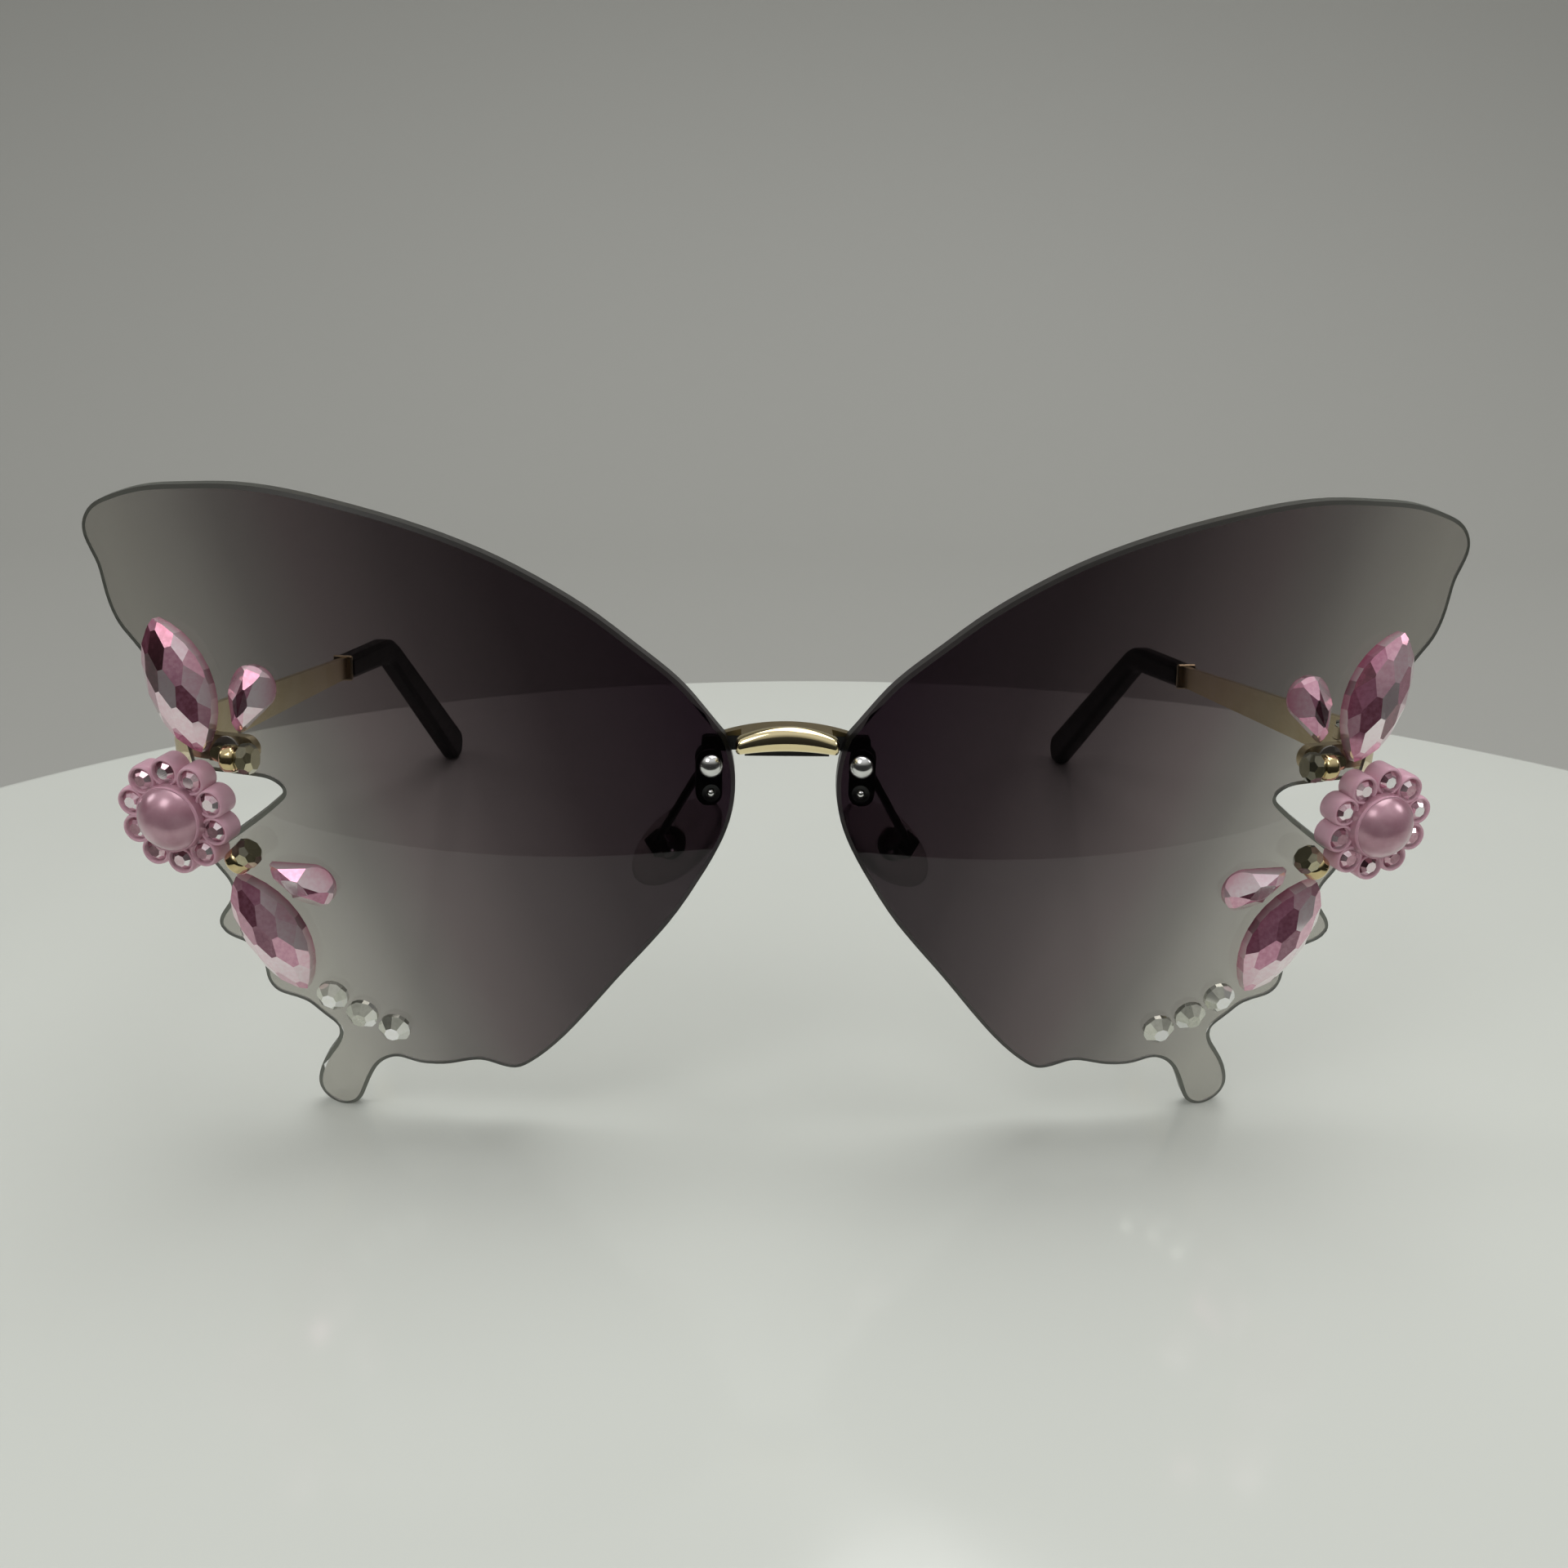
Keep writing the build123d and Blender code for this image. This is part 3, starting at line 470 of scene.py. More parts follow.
@dataclass(frozen=True)
class FacetedStone(Finish):
    """Foil-backed cut stone: a mirror under painted reflections, each facet painted pale or dark.

    The painted reflection of each facet is an attribute of the mesh. Towards the girdle the light
    travels further through the dyed body, so the edge is more strongly coloured.
    """

    # Colours of the painted reflections, from dark facets to painted white glints
    facet_light_stops: Stops = (
        (0.0, "#431c26"), (0.2, "#8a5062"), (0.45, "#c585a0"), (0.7, "#f0bfd0"), (1.0, "#fff2f6"),
    )
    rim_colour: str = "#c94f7b"
    rim_share: float = 0.75
    fleck_mm: float = 0.5
    fleck: float = 0.05
    index: float = 1.55
    coat_roughness: float = 0.02

    def shader_values(self) -> dict[str, object]:
        """A hard clear face over foil."""
        return super().shader_values() | {
            "IOR": self.index, "Coat IOR": self.index, "Coat Roughness": self.coat_roughness,
        }

    def paint(self, tree: NodeTree, shader: Node) -> None:
        """Colours each facet by its painted reflection and the edge by the dye.

        Args:
            tree: the material's nodes.
            shader: the shader that gets the pattern.
        """
        # Painted reflection of each facet, broken by random flecks
        tone = add_node(tree, "Attribute", attribute_name=PAINTED_FACET_LIGHT).outputs["Fac"]
        flecks = self.patches(tree, self.fleck_mm, -self.fleck, self.fleck)
        broken = add_node(tree, "Math", {0: tone, 1: flecks}, operation="ADD")
        colour = add_node(tree, "ValToRGB", {"Fac": broken}, stops=self.facet_light_stops)
        rim = add_node(tree, "Attribute", attribute_name=RIM).outputs["Fac"]
        deep = add_node(tree, "Math", {0: rim, 1: rim}, operation="MULTIPLY")
        share = add_node(tree, "Math", {0: deep}, {1: self.rim_share}, operation="MULTIPLY")
        dyed = add_node(tree, "Mix", {"Factor": share, 6: colour}, {7: linear(self.rim_colour)},
                        data_type="RGBA")
        connect(shader, {"Base Color": dyed.outputs[2]})


class Finishes(Enum):
    """Every finish of the sunglasses, by what it is in the hand."""

    # A dipped polycarbonate sheet: clear gloss, tint deep at the nose
    LENS = TintedLens("tinted_polycarbonate", "lens", "#2a2126", 0.0)
    # Electroplated gold on cast zinc: a warm mirror that shows the dark room in bands
    POLISHED_GOLD = PolishedMetal("polished_gold_plate", "polished_gold", "#ecdcae", 0.05)
    # The rail's plating is a browner gold with a satin surface
    BROWN_GOLD = PolishedMetal("brown_gold_plate", "brown_gold", "#94835f", 0.28)
    # Nickel-plated screws: neutral and bright
    POLISHED_STEEL = PolishedMetal("polished_nickel", "polished_steel", "#dcdcda", 0.13)
    # Light gold plating on the stamped temples, brushed along their length
    TEMPLE_GOLD = BrushedMetal("brushed_gold_temple", "temple_gold", "#efe0c2", 0.34)
    # The collars are bright plated brass
    COLLAR = PolishedMetal("collar_plate", "collar_metal", "#d8c8a0", 0.12)
    # Bead settings: champagne mirror
    BEAD_GOLD = PolishedMetal("champagne_mirror", "bead_gold", "#cdb988", 0.07, coat=0.6)
    # Black enamel over the bridge core: deep gloss
    BLACK_ENAMEL = Enamel("black_enamel", "black_enamel", "#0b0a0b", 0.22)
    # Pad wires and mounts: glossy dark maroon all over
    DARK_WIRE = Enamel("dark_lacquered_wire", "dark_wire", "#2b1a20", 0.3)
    DARK_MOUNT = Enamel("dark_lacquered_mount", "dark_mount", "#3a1c26", 0.25)
    # Nylon washers: milky and soft edged
    NYLON = MouldedPlastic("nylon", "nylon", "#dcdad2", 0.4, worn_colour="#c9c7be")
    # Acetate-like black tips with a soft gloss
    BLACK_PLASTIC = MouldedPlastic("black_tip_plastic", "black_plastic", "#020102", 0.3, gloss=0.08)
    # Nose pads: clear and faintly milky, with a satin skin
    SILICONE = ClearRubber("clear_silicone", "silicone", "#e4dcdb", 0.12)
    # Flower casting: moulded translucent acrylic under a hard gloss
    PINK_ACRYLIC = GlowingPlastic(
        "pink_acrylic", "pink_acrylic", "#b57088", 0.12, coat=1.0,
        cloud_stops=((0.0, "#85505f"), (1.0, "#b57088")),
    )
    # Half pearl in the middle of the flower: satin lacquer with one broad blurred highlight
    PEARL = GlowingPlastic(
        "pink_pearl_lacquer", "pink_pearl", "#b27f8f", 0.28, 0.3, 1.0,
        cloud_stops=((0.0, "#b27f8f"), (1.0, "#c79aa8")), cloud_mm=3.0, cloud_detail=3.0,
        glow=0.1, glow_colour=(1.0, 0.5, 0.6), glow_mm=0.6, index=1.5, coat_roughness=0.2,
    )
    # Dyed acrylic gems with a foil back: each facet painted a paler or darker pink, a painted reflection
    PINK_GEM = FacetedStone("pink_foiled_gem", "pink_gem", "#eca6c0", 0.06, 0.6, 1.0)
    # Small stones of the flower's cups: nearly white foil with a pink cast, their facets painted dark to
    # white as painted reflections and glints
    FOIL_STONE = FacetedStone(
        "pink_foil_stone", "foil_stone", "#f6dde4", 0.05, 0.75, 1.0,
        facet_light_stops=((0.0, "#6d4450"), (0.35, "#c795a4"), (0.6, "#fbe6ec"), (1.0, "#ffffff")),
        rim_colour="#b8657f", rim_share=0.3,
    )
    # Smoked glass ends of the beads: dark facets with painted olive glints
    SMOKE_GLASS = FacetedStone(
        "smoked_glass_bead", "smoke_glass", "#6d6a58", 0.05, 0.7, 1.0,
        facet_light_stops=((0.0, "#2a281d"), (0.5, "#6e6950"), (1.0, "#cfc6a2")),
        rim_colour="#2f2e29", rim_share=0.0,
    )
    # Round clear stones with a silver foil back, their facets painted grey to white as painted
    # reflections
    CLEAR_GEM = FacetedStone(
        "clear_foiled_stone", "clear_gem", "#e6e8e2", 0.05, 0.7, 1.0,
        facet_light_stops=((0.0, "#7c7d72"), (0.4, "#c6c7ba"), (0.7, "#f3f3e6"), (1.0, "#ffffff")),
        rim_colour="#b4b6b0", rim_share=0.3,
    )

    def dress(self, piece: Object) -> None:
        """Gives a piece this finish all over."""
        piece.data.materials.clear()
        piece.data.materials.append(self.value.material())


# The solids of the frame
@dataclass(frozen=True)
class Flat:
    """One flat face of a solid: its middle, its outward normal, its area and its corners."""

    centre: Vector
    normal: Vector
    area: float
    corners: tuple[Vector, ...]


def root(parents: dict[Corner, Corner], corner: Corner) -> Corner:
    """Follows the parents of a corner.

    Args:
        parents: the parent of each corner, its own at the end.
        corner: where to start.

    Returns:
        The corner that stands for the whole solid.
    """
    while parents[corner] != corner:
        corner = parents[corner]
    return corner


def islands(node: Object) -> list[list[MeshPolygon]]:
    """Sorts the triangles of a node into its separate solids.

    Args:
        node: a CAD node, whose mesh is loose triangles.

    Returns:
        The triangles of each solid.
    """
    keys = [tuple(round(part * CORNER_CELLS) for part in vertex.co) for vertex in node.data.vertices]
    parents = {key: key for key in keys}
    for triangle in node.data.polygons:
        first, *others = [root(parents, keys[index]) for index in triangle.vertices]
        for other in others:
            parents[root(parents, other)] = root(parents, first)
    groups: dict[Corner, list[MeshPolygon]] = {}
    for triangle in node.data.polygons:
        groups.setdefault(root(parents, keys[triangle.vertices[0]]), []).append(triangle)
    return list(groups.values())


def flats(node: Object, triangles: list[MeshPolygon]) -> list[Flat]:
    """Joins the triangles of one solid into its flat faces.

    Args:
        node: the node that the triangles are of.
        triangles: the triangles of the solid.

    Returns:
        The flat faces, the largest first.
    """
    groups: list[list[MeshPolygon]] = []
    for triangle in triangles:
        for group in groups:
            same_turn = group[0].normal.dot(triangle.normal) > SAME_TURN
            if same_turn and abs((group[0].center - triangle.center).dot(group[0].normal)) < SAME_PLANE:
                group.append(triangle)
                break
        else:
            groups.append([triangle])
    found = []
    for group in groups:
        area = sum(triangle.area for triangle in group)
        centre = sum((triangle.center * triangle.area for triangle in group), Vector()) / area
        indices = {index for triangle in group for index in triangle.vertices}
        corners = tuple(node.data.vertices[index].co.copy() for index in indices)
        found.append(Flat(centre, group[0].normal.copy(), area, corners))
    return sorted(found, key=lambda flat: -flat.area)


@dataclass(frozen=True)
class Seat:
    """Where a piece sits: the middle of its base, its long axis and its upward axis."""

    centre: Vector
    long_axis: Vector
    up_axis: Vector
    length: float = 0.0

    def matrix(self) -> Matrix:
        """Turns millimetres on the bench into metres on the seat.

        Returns:
            The matrix for a piece that was made at the origin.
        """
        side = self.up_axis.cross(self.long_axis).normalized()
        turn = Matrix((self.long_axis, side, self.up_axis)).transposed().to_4x4()
        return Matrix.Translation(self.centre) @ turn @ Matrix.Scale(MM, 4)


def middle_of(node: Object) -> Vector:
    """The middle of a node's box."""
    low, high = [Vector(corner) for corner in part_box(node.name)]
    return (low + high) / 2


def farthest_pair(points: tuple[Vector, ...]) -> tuple[Vector, Vector]:
    """The two points that lie farthest apart."""
    pairs = ((first, second) for index, first in enumerate(points) for second in points[index + 1:])
    return max(pairs, key=lambda pair: (pair[0] - pair[1]).length_squared)


def seat_on(flat: Flat) -> Seat:
    """The seat on a flat base, with the long axis towards the narrower end.

    Args:
        flat: the base of a solid, whose normal points down into what carries it.

    Returns:
        The seat at the middle of the base's longest line.
    """
    one, other = farthest_pair(flat.corners)
    if (one - flat.centre).length > (other - flat.centre).length:
        one, other = other, one
    up_axis = -flat.normal
    long_axis = (other - one) - (other - one).dot(up_axis) * up_axis
    return Seat((one + other) / 2, long_axis.normalized(), up_axis, (other - one).length / MM)


def glued_seats(node: Object) -> list[Seat]:
    """The seats of solids that are glued by their largest flat face that looks back.

    Args:
        node: the node of the solids.

    Returns:
        A seat for each solid.
    """
    seats = []
    for triangles in islands(node):
        behind = [triangle for triangle in triangles if triangle.normal.y > FACING]
        seats.append(seat_on(flats(node, behind)[0]))
    return seats


# Bench work
def deselect() -> None:
    """Clears the selection."""
    bpy.ops.object.select_all(action="DESELECT")


def select_all() -> None:
    """Picks everything of the piece that is being edited."""
    bpy.ops.mesh.select_all(action="SELECT")


def take(piece: Object) -> None:
    """Selects one piece alone and makes it the active one.

    Args:
        piece: the piece.
    """
    deselect()
    piece.select_set(True)
    bpy.context.view_layer.objects.active = piece


def new_piece(name: str) -> Object:
    """Names the piece that was just made.

    Args:
        name: the name for it and its mesh.

    Returns:
        The piece.
    """
    piece = bpy.context.active_object
    piece.name = piece.data.name = name
    return piece


def drum(name: str, sides: int, radius: float, length: float, middle: Triple = (0, 0, 0),
         tilt: float = 0.0) -> Object:
    """Makes a plain round block to start from.

    Args:
        name: what the block is called.
        sides: flat sides round it.
        radius: its radius.
        length: its length.
        middle: where its middle is.
        tilt: turn of its axis from z towards x, in radians.

    Returns:
        The block, with its place and turn in its mesh.
    """
    deselect()
    bpy.ops.mesh.primitive_cylinder_add(
        vertices=sides, radius=radius, depth=length, location=middle, rotation=(0, tilt, 0))
    block = new_piece(name)
    bpy.ops.object.transform_apply(location=True, rotation=True, scale=False)
    return block


def edit(piece: Object, *steps: Step) -> None:
    """Runs steps on a piece in edit mode, with what was picked beforehand.

    Args:
        piece: the piece.
        steps: what is done, in order.
    """
    take(piece)
    bpy.ops.object.mode_set(mode="EDIT")
    for step in steps:
        step()
    bpy.ops.object.mode_set(mode="OBJECT")


def clear_picks(piece: Object, kind: str) -> None:
    """Gets a piece ready for picking faces or edges, with nothing picked."""
    edit(piece, partial(bpy.ops.mesh.select_mode, type=kind),
         partial(bpy.ops.mesh.select_all, action="DESELECT"))


def pick_faces(piece: Object, test: Callable[[MeshPolygon], bool]) -> None:
    """Picks the faces that pass a test, and nothing else.

    Args:
        piece: the piece.
        test: says whether a face is picked.
    """
    clear_picks(piece, "FACE")
    for face in piece.data.polygons:
        face.select = test(face)


def pick_edges(piece: Object, test: Callable[[Vector, Vector], bool]) -> None:
    """Picks the edges whose two ends pass a test, and nothing else.

    Args:
        piece: the piece.
        test: says whether an edge between two places is picked.
    """
    clear_picks(piece, "EDGE")
    for edge in piece.data.edges:
        first, second = [piece.data.vertices[index].co for index in edge.vertices]
        edge.select = test(first, second)


def bevel(width: float, steps: int) -> Step:
    """The step that rounds the picked edges."""
    return partial(bpy.ops.mesh.bevel, offset=width, segments=steps, affect="EDGES")


def extrude(shift: Triple) -> Step:
    """The step that draws out what is picked."""
    return partial(bpy.ops.mesh.extrude_region_move, TRANSFORM_OT_translate={"value": shift})


def resize(factors: Triple) -> Step:
    """The step that resizes what is picked, seen from the origin."""
    return partial(bpy.ops.transform.resize, value=factors, center_override=(0, 0, 0))


def saw(place: Triple, normal: Triple, **settings: bool) -> None:
    """Saws through the piece that is being edited.

    Args:
        place: a place on the saw's plane.
        normal: the plane's normal.
        settings: what becomes of the two halves.
    """
    select_all()
    bpy.ops.mesh.bisect(plane_co=place, plane_no=normal, threshold=SAW_GAP, **settings)


def cut(place: Triple, normal: Triple) -> Step:
    """The step that cuts a facet: what lies beyond it comes off, and the cut is closed flat."""
    return partial(saw, place, normal, use_fill=True, clear_outer=True)


def round_ends(block: Object, axis: int, width: float, steps: int) -> None:
    """Rounds the rims at the two ends of a block."""
    pick_edges(block, lambda one, other: abs(one[axis] - other[axis]) < LEVEL_GAP)
    edit(block, bevel(width, steps))


def finish_mesh(piece: Object, smooth_angle: float = 0.0, weld: float = BENCH_WELD) -> None:
    """Merges doubles, turns the faces outwards and smooths the joins below an angle.

    Args:
        piece: the piece.
        smooth_angle: the sharpest join that looks smooth, in degrees, or 0 for facets.
        weld: the distance within which corners are one.
    """
    edit(piece, select_all, partial(bpy.ops.mesh.remove_doubles, threshold=weld),
         partial(bpy.ops.mesh.normals_make_consistent, inside=False))
    if smooth_angle:
        bpy.ops.object.shade_smooth_by_angle(angle=radians(smooth_angle))
    else:
        bpy.ops.object.shade_flat()


def apply_modifier(piece: Object, kind: str, **settings: object) -> None:
    """Adds a modifier and applies it.

    Args:
        piece: the piece.
        kind: the modifier's type.
        settings: the modifier's properties.
    """
    modifier = piece.modifiers.new(kind.title(), kind)
    for name, value in settings.items():
        setattr(modifier, name, value)
    take(piece)
    bpy.ops.object.modifier_apply(modifier=modifier.name)


def combine(piece: Object, other: Object, operation: str) -> None:
    """Fuses another piece to this one, or cuts its form away, and uses it up."""
    apply_modifier(piece, "BOOLEAN", operation=operation, object=other, solver="EXACT")
    bpy.data.objects.remove(other)


def joined(pieces: list[Object], name: str) -> Object:
    """Joins pieces into one object.

    Args:
        pieces: the pieces.
        name: the name of the whole.

    Returns:
        The whole.
    """
    take(pieces[0])
    for piece in pieces:
        piece.select_set(True)
    if len(pieces) > 1:
        bpy.ops.object.join()
    return new_piece(name)


def handed_out(master: Object, names: list[str]) -> list[Object]:
    """Copies of a piece, each with its own mesh. The piece itself is used up.

    Args:
        master: the piece that was modelled once.
        names: the name of each copy.

    Returns:
        The copies, in the order of their names.
    """
    twins = []
    for name in names:
        twin = master.copy()
        twin.data = master.data.copy()
        twin.name = twin.data.name = name
        bpy.context.scene.collection.objects.link(twin)
        twins.append(twin)
    bpy.data.objects.remove(master)
    return twins


def place_piece(piece: Object, seat: Seat) -> None:
    """Puts a piece from the bench on its seat, with its place in its mesh."""
    piece.data.transform(seat.matrix())


@dataclass(frozen=True)
class PaintedFacetLight:
    """Painted reflections: how pale or dark the facets of a foil-backed stone are painted.

    Args:
        base: tone of a facet that looks straight up from the seat.
        tilt: how much paler a facet gets as it tilts.
        lean: how much paler a facet gets as it turns to the light's side.
        spread: how far chance moves each tone.
        light: the light's side, in the frame of the glasses.
    """

    base: float
    tilt: float
    lean: float
    spread: float
    light: Triple = (0.75, 0.0, -0.66)

    def write(self, piece: Object, seat: Seat, seed: int) -> None:
        """Writes the painted reflection of each facet, and how near each corner is to the base.

        Args:
            piece: a cut stone on the bench, its base at z = 0.
            seat: where it will sit.
            seed: start of the random tones.
        """
        mesh = piece.data
        chance = random.Random(seed)
        side = (seat.matrix().to_3x3().inverted() @ Vector(self.light)).normalized()
        height = max(vertex.co.z for vertex in mesh.vertices)
        tones = mesh.attributes.new(PAINTED_FACET_LIGHT, "FLOAT", "FACE")
        ordered = sorted(
            mesh.polygons, key=lambda face: (round(face.center.x, 3), round(face.center.y, 3)))
        for face in ordered:
            # Painted reflection: a facet is painted paler as it tilts and as it turns to the light's
            # side
            tone = self.base + self.tilt * (1 - face.normal.z) + self.lean * face.normal.dot(side)
            tone += self.spread * (chance.random() - 0.5)
            tones.data[face.index].value = min(1.0, max(0.0, tone))
        rims = mesh.attributes.new(RIM, "FLOAT", "POINT")
        for vertex in mesh.vertices:
            rims.data[vertex.index].value = 1 - vertex.co.z / height


def smooth_twin(node: Object, name: str, angle: float) -> Object:
    """Copies a CAD node, with its triangles merged and its curved faces smooth.

    Args:
        node: the node.
        name: the name of the copy.
        angle: the sharpest join that looks smooth, in degrees.

    Returns:
        The copy, free of its parent.
    """
    twin = node.copy()
    twin.data = node.data.copy()
    for key in list(twin.keys()):
        del twin[key]
    twin.parent = None
    bpy.context.scene.collection.objects.link(twin)
    twin.name = name
    take(twin)
    if twin.data.has_custom_normals:
        bpy.ops.mesh.customdata_custom_splitnormals_clear()
    finish_mesh(twin, angle, FRAME_WELD)
    return twin


def soften(twin: Object, width_mm: float, steps: int, edge_angle: float, smooth_angle: float) -> None:
    """Joins the flat triangles of a twin and rounds its edges.

    Args:
        twin: the copy of a node.
        width_mm: how far in the rounding starts, in millimetres.
        steps: faces across the rounding.
        edge_angle: the flattest edge that is rounded, in degrees.
        smooth_angle: the sharpest join that looks smooth, in degrees.
    """
    edit(twin, select_all, partial(bpy.ops.mesh.dissolve_limited, angle_limit=radians(FLAT_ANGLE)))
    apply_modifier(twin, "BEVEL", width=width_mm * MM, segments=steps, limit_method="ANGLE",
                   angle_limit=radians(edge_angle))
    finish_mesh(twin, smooth_angle, FRAME_WELD)


def settle(piece: Object, finish: Finishes, body: str, *nodes: str) -> None:
    """Dresses a new piece, sets it on its body and lets it stand for its nodes.

    Args:
        piece: the piece, in its place in the frame.
        finish: what it is made of.
        body: the body that it moves with.
        nodes: the nodes that it stands for.
    """
    finish.dress(piece)
    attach(piece, body)
    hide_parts(*nodes)
    log.info("%s on %s, %d faces", piece.name, body, len(piece.data.polygons))


# Sub-assemblies
@dataclass
class Lenses:
    """The two tinted wings, their curved faces smooth, their rims ground with a fine bevel.

    Sizes are in millimetres.
    """

    nodes: dict[str, Object]
    crease_angle: float = 35.0
    bevel_width: float = 0.5
    bevel_depth: float = 0.12

    def build(self) -> None:
        """Makes both lenses from copies of their nodes."""
        for side in SIDES:
            node = f"{side}_lens"
            lens = smooth_twin(self.nodes[node], f"{side}_lens_sheet", self.crease_angle)
            self.bevel_rim(lens)
            settle(lens, Finishes.LENS, "front", node)

    def bevel_rim(self, lens: Object) -> None:
        """Grinds a fine matt bevel round the front face.

        Args:
            lens: the copy of a lens.
        """
        pick_faces(lens, lambda face: face.normal.y < -FACING)
        edit(lens, partial(bpy.ops.mesh.inset, thickness=self.bevel_width * MM, depth=0.0,
                           use_even_offset=True))
        inside = {index for face in lens.data.polygons if face.select for index in face.vertices}
        ring = [face for face in lens.data.polygons if face.normal.y < -FACING and not face.select]
        # The bevel gets the lens's painted shade on its rim
        rims = lens.data.attributes.new(RIM, "FLOAT", "FACE")
        outer = set()
        for face in ring:
            rims.data[face.index].value = 1.0
            outer.update(index for index in face.vertices if index not in inside)
        for index in outer:
            lens.data.vertices[index].co.y += self.bevel_depth * MM
        take(lens)
        bpy.ops.object.shade_smooth_by_angle(angle=radians(self.crease_angle))


@dataclass
class Metalwork:
    """Bridge, end pieces and the fittings that pass through the lenses."""

    nodes: dict[str, Object]
    kept: dict[str, Finishes] = field(default_factory=lambda: {
        "bridge_core": Finishes.BLACK_ENAMEL,
        "bridge_top_rail": Finishes.BROWN_GOLD,
        "bridge_washers": Finishes.NYLON,
        "bridge_nuts": Finishes.POLISHED_STEEL,
        "end_piece_washers": Finishes.NYLON,
        "end_piece_nuts": Finishes.POLISHED_STEEL,
        "end_piece_pegs": Finishes.POLISHED_STEEL,
        "pad_screws": Finishes.POLISHED_STEEL,
        "hinge_screws": Finishes.POLISHED_STEEL,
        "left_end_piece": Finishes.TEMPLE_GOLD,
        "right_end_piece": Finishes.TEMPLE_GOLD,
        "left_pad_mount": Finishes.DARK_MOUNT,
        "right_pad_mount": Finishes.DARK_MOUNT,
        "left_pad_arm": Finishes.DARK_WIRE,
        "right_pad_arm": Finishes.DARK_WIRE,
    })
    smoothed: dict[str, Finishes] = field(default_factory=lambda: {
        "bridge_screws": Finishes.POLISHED_STEEL,
        "bridge_pegs": Finishes.POLISHED_STEEL,
        "end_piece_screws": Finishes.POLISHED_GOLD,
    })
    smooth_angle: float = 40.0
    peg_round: float = 0.5
    peg_steps: int = 6
    peg_edge: float = 60.0

    def build(self) -> None:
        """Dresses the nodes that stay, and smooths the polished ones."""
        for node, finish in self.kept.items():
            finish.dress(self.nodes[node])
        for node, finish in self.smoothed.items():
            polished = smooth_twin(self.nodes[node], f"{node}_polished", self.smooth_angle)
            if node == "bridge_pegs":
                # Round heads, so that they catch the light as pins do
                soften(polished, self.peg_round, self.peg_steps, self.peg_edge, self.smooth_angle)
            settle(polished, finish, "front", node)


@dataclass
class FrontBar:
    """The polished cushion before the bridge: arched, fullest in its middle, round at its ends.

    Sizes are in millimetres.
    """

    sides: int = 40
    rings: int = 24
    end_round: float = 0.6
    round_steps: int = 6
    back_share: float = 0.75
    end_height: float = 2.0
    bottom_rise: float = 0.5
    smooth_angle: float = 50.0

    def build(self) -> None:
        """Shapes the bar from a drum, within the box of its node."""
        low, high = [Vector(corner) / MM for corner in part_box("bridge_front_bar")]
        width, depth, height = high - low
        bar = drum("bridge_front_bar_polished", self.sides, 1, width, tilt=pi / 2)
        round_ends(bar, 0, self.end_round, self.round_steps)
        edit(bar, cut((0, self.back_share, 0), (0, 1, 0)))
        # Rings of edges along the bar, for its arch
        places = [width * (index / self.rings - 0.5) for index in range(1, self.rings)]
        edit(bar, *[partial(saw, (place, 0, 0), (1, 0, 0)) for place in places])
        for vertex in bar.data.vertices:
            rise = 1 - (2 * vertex.co.x / width) ** 2
            tall = self.end_height + (height - self.bottom_rise - self.end_height) * rise
            vertex.co.z = low.z + self.bottom_rise * rise + tall * (1 + vertex.co.z) / 2
            vertex.co.y = low.y + depth * (1 + vertex.co.y) / (1 + self.back_share)
        finish_mesh(bar, self.smooth_angle)
        bar.data.transform(Matrix.Scale(MM, 4))
        settle(bar, Finishes.POLISHED_GOLD, "front", "bridge_front_bar")


@dataclass
class NosePads:
    """Soft clear pads with a recess for the round mount. Sizes are in millimetres."""

    nodes: dict[str, Object]
    length: float = 14.4
    width: float = 7.6
    thickness: float = 2.6
    rim_round: float = 1.07
    rim_steps: int = 7
    recess_radius: float = 2.1
    recess_depth: float = 0.35
    sides: int = 48
    smooth_angle: float = 35.0

    def build(self) -> None:
        """Models one pad and sets a copy of it on each side."""
        pads = handed_out(self.pad(), [f"{side}_nose_pad_soft" for side in SIDES])
        for side, pad in zip(SIDES, pads):
            place_piece(pad, self.seat(side))
            settle(pad, Finishes.SILICONE, f"{side}_pad", f"{side}_nose_pad")

    def seat(self, side: str) -> Seat:
        """Finds the middle of a pad.

        Args:
            side: left or right.

        Returns:
            The seat, with its up axis towards the nose and its long axis along the pad.
        """
        mount = self.nodes[f"{side}_pad_mount"].data.vertices
        mount_middle = sum((vertex.co for vertex in mount), Vector()) / len(mount)
        node = self.nodes[f"{side}_nose_pad"]
        faces = flats(node, list(node.data.polygons))[:2]
        back, front = sorted(faces, key=lambda flat: (flat.centre - mount_middle).length)
        one, other = farthest_pair(front.corners)
        long_axis = (one - other).normalized()
        if long_axis.z < 0:
            long_axis = -long_axis
        return Seat((front.centre + back.centre) / 2, long_axis, front.normal)

    def pad(self) -> Object:
        """Makes a soft oval with rounded rims and a round recess in its back.

        Returns:
            The pad, at the origin.
        """
        pad = drum("pad", self.sides, 1, self.thickness)
        edit(pad, select_all, resize((self.length / 2, self.width / 2, 1)))
        round_ends(pad, 2, self.rim_round, self.rim_steps)
        recess = drum("recess", self.sides, self.recess_radius, 2 * self.recess_depth,
                      (0, 0, -self.thickness / 2))
        combine(pad, recess, "DIFFERENCE")
        finish_mesh(pad, self.smooth_angle)
        return pad


